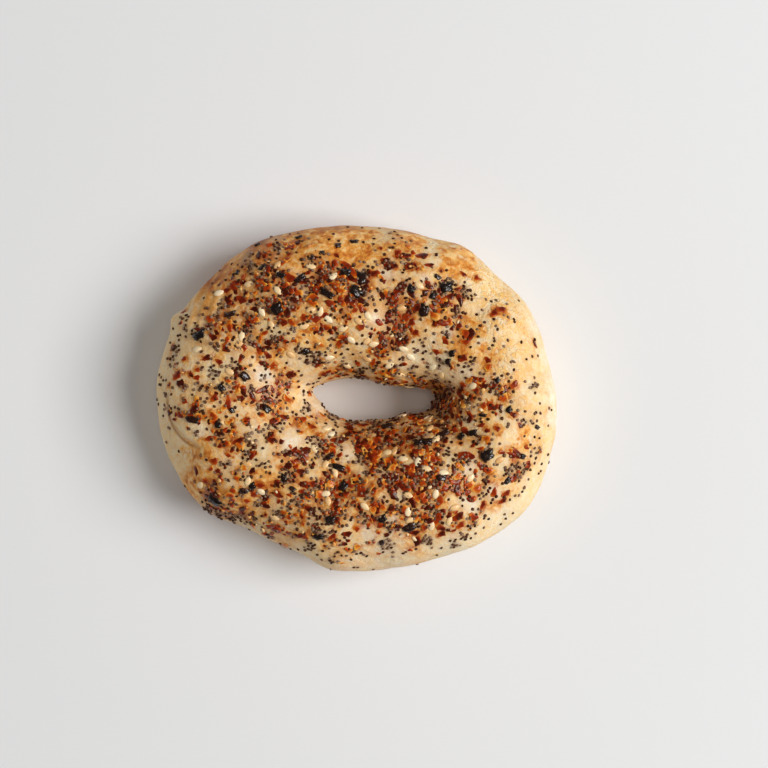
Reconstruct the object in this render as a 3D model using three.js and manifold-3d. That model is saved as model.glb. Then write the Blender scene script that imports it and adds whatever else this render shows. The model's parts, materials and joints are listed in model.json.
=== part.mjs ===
// A seeded bagel: one baked ring of dough, with the seeds and dried flakes that were
// baked onto its crown. Millimetres, +Z up, origin at the middle of the flat base.

import * as THREE from 'three';
import { mergeVertices } from 'three/addons/utils/BufferGeometryUtils.js';
import Module from 'manifold-3d';

// The ring of dough.
const LENGTH = 120; // along X, over the fattest part
const WIDTH = 104; // along Y, over the fattest part
const CROWN_HEIGHT = 33; // of the crown above the base, before its own swellings
const EQUATOR = 0.42; // height of the fattest part, as a share of the crown's
const FULLNESS = 0.95; // 1 for an elliptical dome, less for a squarer one
const BASE_SHARE = 0.62; // flat width of the base, as a share of the rope's width
const HOLE_LENGTH = 37.2; // along X
const HOLE_WIDTH = 12; // along Y
const HOLE_X = 5.9; // middle of the hole
const HOLE_Y = -0.3;

// Where the hand-rolled rope swelled or drew in: at and spread in degrees round the
// ring, rise in millimetres, sharp 2 for a round swelling and 4 for a flat-topped one.
const OUTER_SWELLINGS = [
  { at: 10, spread: 8, rise: -0.4, sharp: 2 },
  { at: 33, spread: 7, rise: 0.8, sharp: 2 },
  { at: 57, spread: 8, rise: 1.5, sharp: 2 },
  { at: 120, spread: 14, rise: 1.3, sharp: 2 },
  { at: 153, spread: 3, rise: 1.7, sharp: 2 },
  { at: 242, spread: 16, rise: -4.3, sharp: 4 },
  { at: 322, spread: 21, rise: 3.9, sharp: 2 },
];
const HOLE_SWELLINGS = [
  { at: 68, spread: 26, rise: -2.7, sharp: 4 },
  { at: 130, spread: 32, rise: 2, sharp: 4 },
  { at: 195, spread: 20, rise: -1.5, sharp: 2 },
  { at: 250, spread: 20, rise: 1.5, sharp: 2 },
  { at: 302, spread: 10, rise: -1.8, sharp: 2 },
  { at: 350, spread: 10, rise: -1, sharp: 2 },
];
const CROWN_SWELLINGS = [
  { at: 15, spread: 40, rise: 1, sharp: 2 },
  { at: 95, spread: 35, rise: 1.8, sharp: 2 },
  { at: 185, spread: 35, rise: -2, sharp: 2 },
  { at: 285, spread: 35, rise: 1.4, sharp: 2 },
];

// Soft lumps of the dough: [height, waves per millimetre in x, in y, shift].
const LUMPS = [
  [0.55, 0.021, 0.013, 0.9],
  [0.4, -0.017, 0.034, 2.3],
  [0.3, 0.047, 0.023, 4.1],
  [0.22, -0.052, 0.061, 0.4],
];

// The fold on the left, where one end of the rope was pressed over the other: an arc
// seen from above, which is a groove with the outer lobe a little lower.
const FOLD = { x: -42.3, y: -1.8, radius: 13.4, from: 178, to: 258, depth: 1.1, width: 1.6, step: 0.7 };

// How finely the dough is faceted.
const STEPS_AROUND = 96;
const DOME_STEPS = 14;
const SHOULDER_STEPS = 4;
const BASE_STEPS = 3;

// Toppings. Clumps large enough to know by sight: [x, y, length, width, way it points].
const CLUMPS = [
  [-47, 19, 5.5, 3, 10],
  [-23.5, 27, 4.6, 4, 20],
  [-16.5, 36.2, 4.8, 1.9, 30],
  [1.8, 36.2, 4.2, 2.8, 80],
  [10, 41, 4.2, 3.4, -40],
  [27.5, 33.2, 5, 3.4, 0],
  [20.5, 26.8, 4.5, 2.6, 70],
  [43.2, 26, 4.8, 2.6, 20],
  [-42, -31, 5, 2.8, -40],
  [-49.5, -6.2, 4.5, 1.9, -5],
  [-11, -41.8, 3.8, 1.9, 0],
  [16.5, -38.5, 5, 2.1, 15],
  [39.5, -17.3, 5, 2.6, 20],
  [49, -16.8, 6, 1.9, -35],
  [21, -13.5, 5, 2.8, 0],
  [-15.5, -16.5, 5, 3.5, 20],
];
const CLUMP_THICKNESS = 2.6;
const ONION = { count: 42, length: 3.6, width: 2.6, thickness: 1.2, gap: 5.2 };
const SESAME = { count: 44, length: 3.2, width: 2, thickness: 1.2, gap: 4.2 };
const POPPY = { count: 30, length: 1.1, width: 1.1, thickness: 1.1, gap: 3 };
const CLEAR_OF_RIM = 0.82; // toppings lie between this share of the rope's width

const MEAN_RADIUS = (LENGTH + WIDTH) / 4;
const MEAN_HOLE_RADIUS = (HOLE_LENGTH + HOLE_WIDTH) / 4;

// Seeded random numbers, so that every build lays the toppings alike.
let state = 20261124;
function random() {
  state = (Math.imul(state, 1664525) + 1013904223) >>> 0;
  return state / 4294967296;
}

function between(low, high) {
  return low + (high - low) * random();
}

// Shape of the ring.

function swelling(u, swellings) {
  let total = 0;
  for (const { at, spread, rise, sharp } of swellings) {
    const away = THREE.MathUtils.euclideanModulo(THREE.MathUtils.radToDeg(u) - at + 180, 360) - 180;
    total += rise * Math.exp(-(Math.abs(away / spread) ** sharp));
  }
  return total;
}

function outerEdge(u) {
  const scale = 1 + swelling(u, OUTER_SWELLINGS) / MEAN_RADIUS;
  return new THREE.Vector2((LENGTH / 2) * Math.cos(u), (WIDTH / 2) * Math.sin(u)).multiplyScalar(scale);
}

function holeEdge(u) {
  const scale = 1 + swelling(u, HOLE_SWELLINGS) / MEAN_HOLE_RADIUS;
  const edge = new THREE.Vector2((HOLE_LENGTH / 2) * Math.cos(u), (HOLE_WIDTH / 2) * Math.sin(u));
  return edge.multiplyScalar(scale).add(new THREE.Vector2(HOLE_X, HOLE_Y));
}

function lumps(x, y) {
  let total = 0;
  for (const [height, waveX, waveY, shift] of LUMPS) {
    total += height * Math.sin(2 * Math.PI * (waveX * x + waveY * y) + shift);
  }
  return total;
}

function fold(x, y) {
  const angle = THREE.MathUtils.radToDeg(Math.atan2(y - FOLD.y, x - FOLD.x));
  const turn = THREE.MathUtils.euclideanModulo(angle, 360);
  const start = THREE.MathUtils.smoothstep(turn, FOLD.from - 15, FOLD.from);
  const end = 1 - THREE.MathUtils.smoothstep(turn, FOLD.to - 15, FOLD.to + 5);
  const outside = Math.hypot(x - FOLD.x, y - FOLD.y) - FOLD.radius;
  const groove = FOLD.depth * Math.exp(-((outside / FOLD.width) ** 2));
  const lobe = FOLD.step * THREE.MathUtils.smoothstep(outside, 0, FOLD.width);
  return -start * end * (groove + lobe);
}

// A point of the skin, from the way round the ring, the place across the rope, from -1
// at the hole to 1 outside, and the height as a share of the crown's.
function skin(u, across, up) {
  const inner = holeEdge(u);
  const outer = outerEdge(u);
  const middle = inner.clone().add(outer).multiplyScalar(0.5);
  const half = outer.clone().sub(inner).multiplyScalar(0.5);
  const height = CROWN_HEIGHT + swelling(u, CROWN_SWELLINGS);
  const x = middle.x + half.x * across;
  const y = middle.y + half.y * across;
  const outward = new THREE.Vector3(half.x * across, half.y * across, height * (up - EQUATOR));
  const share = THREE.MathUtils.smoothstep(up, EQUATOR, EQUATOR + 0.25);
  const relief = share * (lumps(x, y) + fold(x, y));
  return new THREE.Vector3(x, y, height * up).addScaledVector(outward.normalize(), relief);
}

// The dome of one section by its angle: 0 at the outside, 90 degrees at the crown and
// 180 degrees at the hole.
function domeHeight(angle) {
  return EQUATOR + (1 - EQUATOR) * Math.max(Math.sin(angle), 0) ** FULLNESS;
}

// One section of the rope as [across, up] stations: over the dome, down the shoulder
// inside the hole, along the flat base and up the outer shoulder.
function sectionStations() {
  const stations = [];
  for (let i = 0; i <= DOME_STEPS; i++) {
    const angle = (Math.PI * i) / DOME_STEPS;
    stations.push([Math.cos(angle), domeHeight(angle)]);
  }
  const shoulder = (side, i) => {
    const angle = (Math.PI * i) / 2 / SHOULDER_STEPS;
    return [side * (BASE_SHARE + (1 - BASE_SHARE) * Math.cos(angle)), EQUATOR * (1 - Math.sin(angle))];
  };
  for (let i = 1; i < SHOULDER_STEPS; i++) stations.push(shoulder(-1, i));
  for (let i = 0; i <= BASE_STEPS; i++) stations.push([BASE_SHARE * ((2 * i) / BASE_STEPS - 1), 0]);
  for (let i = SHOULDER_STEPS - 1; i > 0; i--) stations.push(shoulder(1, i));
  return stations;
}

function doughGeometry() {
  const stations = sectionStations();
  const positions = [];
  for (let i = 0; i < STEPS_AROUND; i++) {
    for (const [across, up] of stations) {
      positions.push(...skin((2 * Math.PI * i) / STEPS_AROUND, across, up).toArray());
    }
  }
  const count = stations.length;
  const corner = (i, j) => (i % STEPS_AROUND) * count + (j % count);
  const triangles = [];
  for (let i = 0; i < STEPS_AROUND; i++) {
    for (let j = 0; j < count; j++) {
      const quad = [corner(i, j), corner(i + 1, j), corner(i + 1, j + 1), corner(i, j + 1)];
      triangles.push(quad[0], quad[1], quad[2], quad[0], quad[2], quad[3]);
    }
  }
  const geometry = new THREE.BufferGeometry();
  geometry.setAttribute('position', new THREE.Float32BufferAttribute(positions, 3));
  geometry.setIndex(triangles);
  return geometry;
}

// Shapes of the toppings, one unit long, wide and thick.

function sesameGeometry() {
  const seed = new THREE.SphereGeometry(0.5, 6, 3);
  seed.rotateZ(Math.PI / 2);
  const place = seed.attributes.position;
  for (let i = 0; i < place.count; i++) {
    const taper = 1 - 0.55 * Math.max(place.getX(i), 0);
    place.setY(i, place.getY(i) * taper);
  }
  return seed;
}

function flakeGeometry() {
  const flake = new THREE.CylinderGeometry(0.4, 0.5, 1, 6);
  flake.rotateX(Math.PI / 2);
  const place = flake.attributes.position;
  for (let i = 0; i < place.count; i++) {
    place.setZ(i, place.getZ(i) + 0.5 * place.getX(i) ** 2);
  }
  return flake;
}

function poppyGeometry() {
  return new THREE.IcosahedronGeometry(0.5, 0);
}

function clumpGeometry() {
  const clump = new THREE.IcosahedronGeometry(0.5, 1);
  const place = clump.attributes.position;
  for (let i = 0; i < place.count; i++) {
    const [x, y, z] = [place.getX(i), place.getY(i), place.getZ(i)];
    const bump = 1 + 0.14 * Math.sin(11 * x + 2) * Math.cos(9 * y) + 0.1 * Math.sin(13 * z + 7 * y);
    place.setXYZ(i, x * bump, y * bump, z * bump);
  }
  return clump;
}

// Laying the toppings on the skin.

function domeSpot(u, angle) {
  return skin(u, Math.cos(angle), domeHeight(angle));
}

function domeNormal(u, angle) {
  const step = 0.02;
  const along = domeSpot(u + step, angle).sub(domeSpot(u - step, angle));
  const over = domeSpot(u, angle + step).sub(domeSpot(u, angle - step));
  return along.cross(over).normalize();
}

// The spot of the dome straight above a place, by Newton's steps on its two angles.
function spotAbove(x, y) {
  let u = Math.atan2(y / WIDTH, x / LENGTH);
  let angle = Math.PI / 2;
  const step = 0.001;
  for (let i = 0; i < 12; i++) {
    const here = domeSpot(u, angle);
    const du = domeSpot(u + step, angle).sub(here).divideScalar(step);
    const da = domeSpot(u, angle + step).sub(here).divideScalar(step);
    const [missX, missY] = [x - here.x, y - here.y];
    const determinant = du.x * da.y - du.y * da.x;
    u += (missX * da.y - missY * da.x) / determinant;
    angle += (du.x * missY - du.y * missX) / determinant;
  }
  return { u, angle };
}

function laid(shape, size, { u, angle }, turn, sunk) {
  const normal = domeNormal(u, angle);
  const heading = new THREE.Vector3(Math.cos(turn), Math.sin(turn), 0);
  heading.addScaledVector(normal, -heading.dot(normal)).normalize();
  const side = normal.clone().cross(heading);
  const middle = domeSpot(u, angle).addScaledVector(normal, -sunk * size.thickness);
  const matrix = new THREE.Matrix4().makeBasis(heading, side, normal).setPosition(middle);
  matrix.scale(new THREE.Vector3(size.length, size.width, size.thickness));
  return shape.clone().applyMatrix4(matrix);
}

// Spots for one kind of topping, spread evenly over the crown and at least a gap from
// every piece laid before. Spots near the narrow hole are rarer, as the skin is shorter.
function spread(kind, taken) {
  const spots = [];
  for (let tries = 0; tries < 20000 && spots.length < kind.count; tries++) {
    const u = between(0, 2 * Math.PI);
    const across = between(-CLEAR_OF_RIM, CLEAR_OF_RIM);
    const chance = THREE.MathUtils.mapLinear(across, -1, 1, 0.3, 1);
    const angle = Math.acos(across);
    const place = domeSpot(u, angle);
    const clear = taken.every((other) => other.distanceTo(place) > kind.gap);
    if (clear && random() < chance) {
      taken.push(place);
      spots.push({ u, angle });
    }
  }
  return spots;
}

function toppings() {
  const taken = [];
  const pieces = [];
  for (const [x, y, length, width, turn] of CLUMPS) {
    const spot = spotAbove(x, y);
    const size = { length, width, thickness: CLUMP_THICKNESS };
    taken.push(domeSpot(spot.u, spot.angle));
    pieces.push(laid(clumpGeometry(), size, spot, THREE.MathUtils.degToRad(turn), 0.05));
  }
  const kinds = [
    [ONION, flakeGeometry()],
    [SESAME, sesameGeometry()],
    [POPPY, poppyGeometry()],
  ];
  for (const [kind, shape] of kinds) {
    for (const spot of spread(kind, taken)) {
      const grow = between(0.8, 1.15);
      const size = { length: kind.length * grow, width: kind.width * grow, thickness: kind.thickness };
      pieces.push(laid(shape, size, spot, between(0, 2 * Math.PI), 0.08));
    }
  }
  return pieces;
}

// Joining.

const wasm = await Module();
wasm.setup();

function toSolid(geometry) {
  const bare = geometry.clone();
  bare.deleteAttribute('normal');
  bare.deleteAttribute('uv');
  const merged = mergeVertices(bare, 1e-4);
  return new wasm.Manifold(new wasm.Mesh({
    numProp: 3,
    vertProperties: new Float32Array(merged.attributes.position.array),
    triVerts: new Uint32Array(merged.index.array),
  }));
}

function toGeometry(solid) {
  const mesh = solid.getMesh();
  const geometry = new THREE.BufferGeometry();
  geometry.setAttribute('position', new THREE.BufferAttribute(mesh.vertProperties, 3));
  geometry.setIndex(new THREE.BufferAttribute(mesh.triVerts, 1));
  geometry.computeVertexNormals();
  return geometry;
}

// The dough with its toppings as one body. A hollow shut in between two pieces, or a
// loose scrap, is a shell of its own, and only the largest shell is kept.
function bagelGeometry() {
  let solid = toSolid(doughGeometry());
  for (const piece of toppings()) solid = solid.add(toSolid(piece));
  const shells = solid.decompose();
  const largest = shells.reduce((best, shell) => (shell.volume() > best.volume() ? shell : best));
  return toGeometry(largest);
}

const crust = new THREE.MeshStandardMaterial({ color: '#c99a60', roughness: 0.6, metalness: 0 });
const bagel = new THREE.Mesh(bagelGeometry(), crust);
bagel.name = 'bagel';

const group = new THREE.Group();
group.add(bagel);

export default group;
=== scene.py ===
import json
import math

import bmesh
import bpy
import numpy as np
from mathutils import Matrix, Vector, noise
from mathutils.bvhtree import BVHTree
from mathutils.kdtree import KDTree

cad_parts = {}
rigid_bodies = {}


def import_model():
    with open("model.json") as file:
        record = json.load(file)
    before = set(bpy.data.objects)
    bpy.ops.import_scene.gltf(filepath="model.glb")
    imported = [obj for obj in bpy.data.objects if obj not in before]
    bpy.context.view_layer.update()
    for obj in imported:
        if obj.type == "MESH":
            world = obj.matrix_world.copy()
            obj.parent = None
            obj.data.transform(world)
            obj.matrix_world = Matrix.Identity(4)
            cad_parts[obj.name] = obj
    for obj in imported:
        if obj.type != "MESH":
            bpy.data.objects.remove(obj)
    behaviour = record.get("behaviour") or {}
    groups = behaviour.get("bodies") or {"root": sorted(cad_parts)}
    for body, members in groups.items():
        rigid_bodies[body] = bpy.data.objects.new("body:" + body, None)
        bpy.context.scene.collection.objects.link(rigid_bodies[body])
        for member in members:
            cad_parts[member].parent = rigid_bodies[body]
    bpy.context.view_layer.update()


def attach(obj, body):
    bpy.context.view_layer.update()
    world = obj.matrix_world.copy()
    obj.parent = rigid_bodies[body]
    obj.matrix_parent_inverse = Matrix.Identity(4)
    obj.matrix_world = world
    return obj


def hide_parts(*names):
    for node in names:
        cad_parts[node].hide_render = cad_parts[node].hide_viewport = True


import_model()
MM = 0.001

# ---------------------------------------------------------------------------------------
# The ring of dough. A rope of dough rolled by hand, closed into a ring with a long narrow
# hole, then boiled and baked on a tray, which leaves a puffed crown and a flat base.

LENGTH = 120 * MM
WIDTH = 104 * MM
CROWN_HEIGHT = 33 * MM
EQUATOR = 0.42  # height of the fattest part, as a share of the crown's
EQUATOR_LEVEL = EQUATOR * CROWN_HEIGHT
FULLNESS = 0.95  # 1 for an elliptical dome, less for a squarer one
BASE_SHARE = 0.62  # flat width of the base, as a share of the rope's width
HOLE_LENGTH = 37.2 * MM
HOLE_WIDTH = 12 * MM
HOLE_X = 5.9 * MM
HOLE_Y = -0.3 * MM

# Where the rope swelled or drew in: (degrees round the ring, spread, rise, sharpness).
OUTER_SWELLINGS = [
    (10, 8, -0.4 * MM, 2),
    (33, 7, 0.8 * MM, 2),
    (57, 8, 1.5 * MM, 2),
    (120, 14, 1.3 * MM, 2),
    (153, 3, 1.7 * MM, 2),
    (242, 16, -4.3 * MM, 4),
    (322, 21, 3.9 * MM, 2),
]
HOLE_SWELLINGS = [
    (68, 26, -2.7 * MM, 4),
    (130, 32, 2 * MM, 4),
    (195, 20, -1.5 * MM, 2),
    (250, 20, 1.5 * MM, 2),
    (302, 10, -1.8 * MM, 2),
    (350, 10, -1 * MM, 2),
]
CROWN_SWELLINGS = [
    (15, 40, 1 * MM, 2),
    (95, 35, 1.8 * MM, 2),
    (185, 35, -2 * MM, 2),
    (285, 35, 1.4 * MM, 2),
]

# Soft lumps of the dough: (height, waves per metre in x and in y, shift).
LUMPS = [
    (0.55 * MM, 21, 13, 0.9),
    (0.4 * MM, -17, 34, 2.3),
    (0.3 * MM, 47, 23, 4.1),
    (0.22 * MM, -52, 61, 0.4),
]

# The fold on the left, where one end of the rope was pressed over the other.
FOLD_X = -42.3 * MM
FOLD_Y = -1.8 * MM
FOLD_RADIUS = 13.4 * MM
FOLD_FROM = 178  # degrees round its own middle
FOLD_TO = 258
FOLD_FADE = 15
FOLD_TAIL = 5
FOLD_DEPTH = 0.9 * MM
FOLD_WIDTH = 0.8 * MM
FOLD_STEP = 0.7 * MM
FOLD_STEP_WIDTH = 1.6 * MM

# Stretch marks up the left shoulder, where the skin of the dough was pulled over.
MARKS_X = -45 * MM
MARKS_Y = 31 * MM
MARKS_REACH_X = 9 * MM
MARKS_REACH_Y = 12 * MM
MARKS_APART = 2.6 * MM
MARKS_DEPTH = 0.2 * MM
MARKS_LEAN = math.radians(-24)
MARKS_BEND = 0.6 * MM
MARKS_BEND_LENGTH = 4 * MM

# Fine puckers all over the skin: (height, about how far apart, seed).
PUCKERS = [
    (0.26 * MM, 11 * MM, 1),
    (0.15 * MM, 5 * MM, 2),
    (0.06 * MM, 2.2 * MM, 3),
]
LUMPS_FULL = 0.25  # how far above the equator the lumps and the fold have their full depth
PUCKERS_FULL = 0.12  # how far above the base the puckers have theirs

STEPS_AROUND = 470
DOME_STEPS = 112
SHOULDER_STEPS = 18
BASE_STEPS = 22


def swelling(u, swellings):
    """What the swellings add at each angle round the ring."""
    degrees = np.degrees(u)
    total = np.zeros_like(degrees)
    for at, spread, rise, sharp in swellings:
        away = (degrees - at + 180) % 360 - 180
        total = total + rise * np.exp(-(np.abs(away / spread) ** sharp))
    return total


def smooth(value, low, high):
    """0 below low, 1 above high and a soft step between."""
    share = np.clip((value - low) / (high - low), 0, 1)
    return share * share * (3 - 2 * share)


def fold_share(x, y):
    """How much of the fold there is at a place: 0 off its ends, 1 along it."""
    turn = np.degrees(np.arctan2(y - FOLD_Y, x - FOLD_X)) % 360
    begun = smooth(turn, FOLD_FROM - FOLD_FADE, FOLD_FROM)
    return begun * (1 - smooth(turn, FOLD_TO - FOLD_FADE, FOLD_TO + FOLD_TAIL))


def fold_outside(x, y):
    """How far a place lies outside the line of the fold."""
    return np.hypot(x - FOLD_X, y - FOLD_Y) - FOLD_RADIUS


def stretch_marks(x, y):
    """The ribs of the stretch marks, from -1 to 1, fading out at the edge of their patch."""
    reach = ((x - MARKS_X) / MARKS_REACH_X) ** 2 + ((y - MARKS_Y) / MARKS_REACH_Y) ** 2
    sideways = x * math.cos(MARKS_LEAN) + y * math.sin(MARKS_LEAN)
    bend = MARKS_BEND * np.sin(y / MARKS_BEND_LENGTH)
    return np.exp(-(reach**2)) * np.sin(2 * math.pi * (sideways + bend) / MARKS_APART)


def waves(points, apart, seed):
    """Smooth noise from -1 to 1 at each point, its lumps about apart from each other."""
    shift = Vector([seed * part for part in (7.13, 3.71, 5.37)])
    return np.array([noise.noise(Vector(point) / apart + shift) for point in points])


def ring_section():
    """The stations round one section of the rope, as arrays of across and up."""
    dome = math.pi * np.arange(DOME_STEPS + 1) / DOME_STEPS
    slope = math.pi / 2 * np.arange(1, SHOULDER_STEPS) / SHOULDER_STEPS
    edge = BASE_SHARE + (1 - BASE_SHARE) * np.cos(slope)
    foot = EQUATOR * (1 - np.sin(slope))
    base = np.linspace(-BASE_SHARE, BASE_SHARE, BASE_STEPS + 1)
    crown = EQUATOR + (1 - EQUATOR) * np.sin(dome).clip(0) ** FULLNESS
    across = np.concatenate([np.cos(dome), -edge, base, edge[::-1]])
    up = np.concatenate([crown, foot, np.zeros_like(base), foot[::-1]])
    return across, up


def dough_points():
    """Every point of the dough's skin, the way outwards there, and its place across and up."""
    stations_across, stations_up = ring_section()
    ways = 2 * math.pi * np.arange(STEPS_AROUND) / STEPS_AROUND
    u = np.repeat(ways, len(stations_across))
    across = np.tile(stations_across, STEPS_AROUND)
    up = np.tile(stations_up, STEPS_AROUND)
    swell = 1 + swelling(u, OUTER_SWELLINGS) / ((LENGTH + WIDTH) / 4)
    narrow = 1 + swelling(u, HOLE_SWELLINGS) / ((HOLE_LENGTH + HOLE_WIDTH) / 4)
    outer_x = LENGTH / 2 * np.cos(u) * swell
    outer_y = WIDTH / 2 * np.sin(u) * swell
    inner_x = HOLE_LENGTH / 2 * np.cos(u) * narrow + HOLE_X
    inner_y = HOLE_WIDTH / 2 * np.sin(u) * narrow + HOLE_Y
    half_x = (outer_x - inner_x) / 2
    half_y = (outer_y - inner_y) / 2
    height = CROWN_HEIGHT + swelling(u, CROWN_SWELLINGS)
    x = (outer_x + inner_x) / 2 + half_x * across
    y = (outer_y + inner_y) / 2 + half_y * across
    points = np.stack([x, y, height * up], axis=1)
    outward = np.stack([half_x * across, half_y * across, height * (up - EQUATOR)], axis=1)
    outward /= np.linalg.norm(outward, axis=1, keepdims=True)
    return points, outward, across, up


def relief(points, up):
    """How far each point of the skin stands out from the plain ring."""
    x, y = points[:, 0], points[:, 1]
    soft = np.zeros(len(points))
    for height, wave_x, wave_y, shift in LUMPS:
        soft += height * np.sin(2 * math.pi * (wave_x * x + wave_y * y) + shift)
    outside = fold_outside(x, y)
    groove = FOLD_DEPTH * np.exp(-((outside / FOLD_WIDTH) ** 2))
    lobe = FOLD_STEP * smooth(outside, 0, FOLD_STEP_WIDTH)
    soft -= fold_share(x, y) * (groove + lobe)
    soft += MARKS_DEPTH * stretch_marks(x, y)
    high = smooth(up, EQUATOR, EQUATOR + LUMPS_FULL)
    off_base = smooth(up, 0, PUCKERS_FULL)
    fine = sum(height * waves(points, apart, seed) for height, apart, seed in PUCKERS)
    return high * soft + off_base * fine


def ring_faces(steps):
    """The quads between neighbouring stations of neighbouring sections."""
    around, along = np.meshgrid(np.arange(STEPS_AROUND), np.arange(steps), indexing="ij")
    here = around * steps + along
    there = (around + 1) % STEPS_AROUND * steps + along
    there_next = (around + 1) % STEPS_AROUND * steps + (along + 1) % steps
    here_next = around * steps + (along + 1) % steps
    return np.stack([here, there, there_next, here_next], axis=-1).reshape(-1, 4)


def mesh_object(name, points, faces):
    """A smooth-shaded object from arrays of points and faces."""
    mesh = bpy.data.meshes.new(name)
    mesh.from_pydata(points.tolist(), [], faces.tolist())
    mesh.shade_smooth()
    piece = bpy.data.objects.new(name, mesh)
    bpy.context.scene.collection.objects.link(piece)
    return piece


def paint(piece, name, values):
    """Keeps a number at each point of a piece, for its shader and for laying seeds."""
    layer = piece.data.attributes.new(name, "FLOAT", "POINT")
    layer.data.foreach_set("value", np.asarray(values, dtype=np.float32))


skin, outward, across, up = dough_points()
skin += outward * relief(skin, up)[:, None]
skin[:, 2] = np.maximum(skin[:, 2], 0)
dough = mesh_object("dough", skin, ring_faces(len(ring_section()[0])))
skin_x, skin_y = skin[:, 0], skin[:, 1]
on_dome = up >= EQUATOR

# Everything below is marked where it is seen from this point above, on the equator's level.
EYE = Vector((8.6, 4.3, 561.1)) * MM
sight = (EYE.z - EQUATOR_LEVEL) / (EYE.z - skin[:, 2])
seen_x = (EYE.x + (skin_x - EYE.x) * sight) / MM
seen_y = (EYE.y + (skin_y - EYE.y) * sight) / MM

# ---------------------------------------------------------------------------------------
# The bake. The thin skin of the dough browns where it stood nearest to the heat, stays
# pale on the rim and in the hole, and keeps a dusting of flour here and there. Some of its
# colour is painted shade and painted light, as marked below.

# Browned patches, some of them painted shade and painted light: (x, y, reach in x, reach in y,
# strength), millimetres. The positive one beside the hole's right end is painted shade; the
# negative ones are painted light on rims and slopes that face away from the window.
BROWNED_SHADED_AND_LIT = [
    (-7, 50.8, 6, 1.5, 0.5), (-25, 47, 8, 3, 0.6), (15.5, 50, 5, 2, 0.35), (-42, 38, 6, 5, 0.35),
    (-47, 30, 6, 9, 0.2), (29.5, 39.3, 4.5, 1.1, 0.9), (1, 44, 6, 4, 0.4), (-45, -28, 3.5, 3, 0.4),
    (-48.5, -26, 4.5, 4.5, 0.75), (-48, -16.5, 5, 4, 0.42), (-27, -31, 4, 5, 0.35),
    (-6, -47.5, 3, 1.6, 0.35), (18, -46, 2, 2.5, 0.45), (42.5, -33, 1.6, 2, 0.5), (24, 3, 6, 2.5, 0.5),
    (33, 23, 5, 5, 0.25), (-38, -34, 6, 2, 0.5), (-56, 4, 6, 26, -0.14), (-34, 42, 7, 4, 0.2),
    (-30, -43, 12, 4, -0.12), (-44, 9, 4, 4, -0.1), (-30, 42.5, 5, 4, 0.25), (-15, 49, 5, 2.5, 0.1),
    (-8, 44, 4, 4, 0.25), (30, -47, 7, 3, -0.3), (44, -38, 6, 4, -0.4), (-51, 27, 4, 6, -0.15),
    (-50, -17, 5, 6, -0.25), (27, 46.8, 4, 1.6, -0.15), (46, 17, 4, 4, 0.15), (21, 11.2, 4, 2.6, 0.25),
    (-46, -28, 3.5, 3, 0.8), (-20, -42.8, 8, 2.5, 0.3), (-41, -35.8, 5, 2.5, 0.5),
]
# Where the skin blistered finely and took colour: (x, y, reach in x, reach in y, strength).
BLISTERED = [
    (37, 36.5, 10, 6, 1.0),
    (42, 26, 8, 10, 1.0),
    (46, 10, 6, 10, 0.9),
    (52, -4, 4, 10, 0.5),
    (48, -24, 6, 8, 0.35),
    (4, 46, 14, 4, 0.5),
    (-48, 6, 6, 14, 0.3),
    (-46, -20, 6, 8, 0.35),
]
# Flour that stayed white: (x, y, reach, strength), millimetres.
FLOURED = [
    (-19.5, -12.5, 3.2, 0.9), (-27.8, 7, 2.8, 1.0), (-2.5, -16.5, 2.2, 0.7), (6.5, 24, 2.6, 0.7),
    (9, 37.5, 2.2, 0.6), (3.5, -40.5, 3, 0.5), (11, -37, 1.8, 0.6), (42, -28.2, 2.2, 0.5),
    (34, -21.5, 2.4, 0.7), (34.5, -32.5, 2.4, 0.7), (28, 20, 1.8, 0.7), (34, 6.5, 3.2, 0.5),
    (16, 12, 2.6, 0.35), (-30, -9, 3, 0.3), (-12, -2, 4, 0.5), (-47, -9.5, 2.2, 0.6), (10, -48, 8, 0.4),
    (-17, 31.5, 2, 0.5), (21, 36, 1.8, 0.5), (30, -44.5, 5, 0.35), (44, -36, 4, 0.3), (60, 0, 3, 0.8),
    (60, 5.5, 3, 0.8), (58, 13, 3, 0.7), (55, 22, 3, 0.7), (60, -6, 3, 0.7), (-3, -51.5, 4, 0.4),
]
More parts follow.
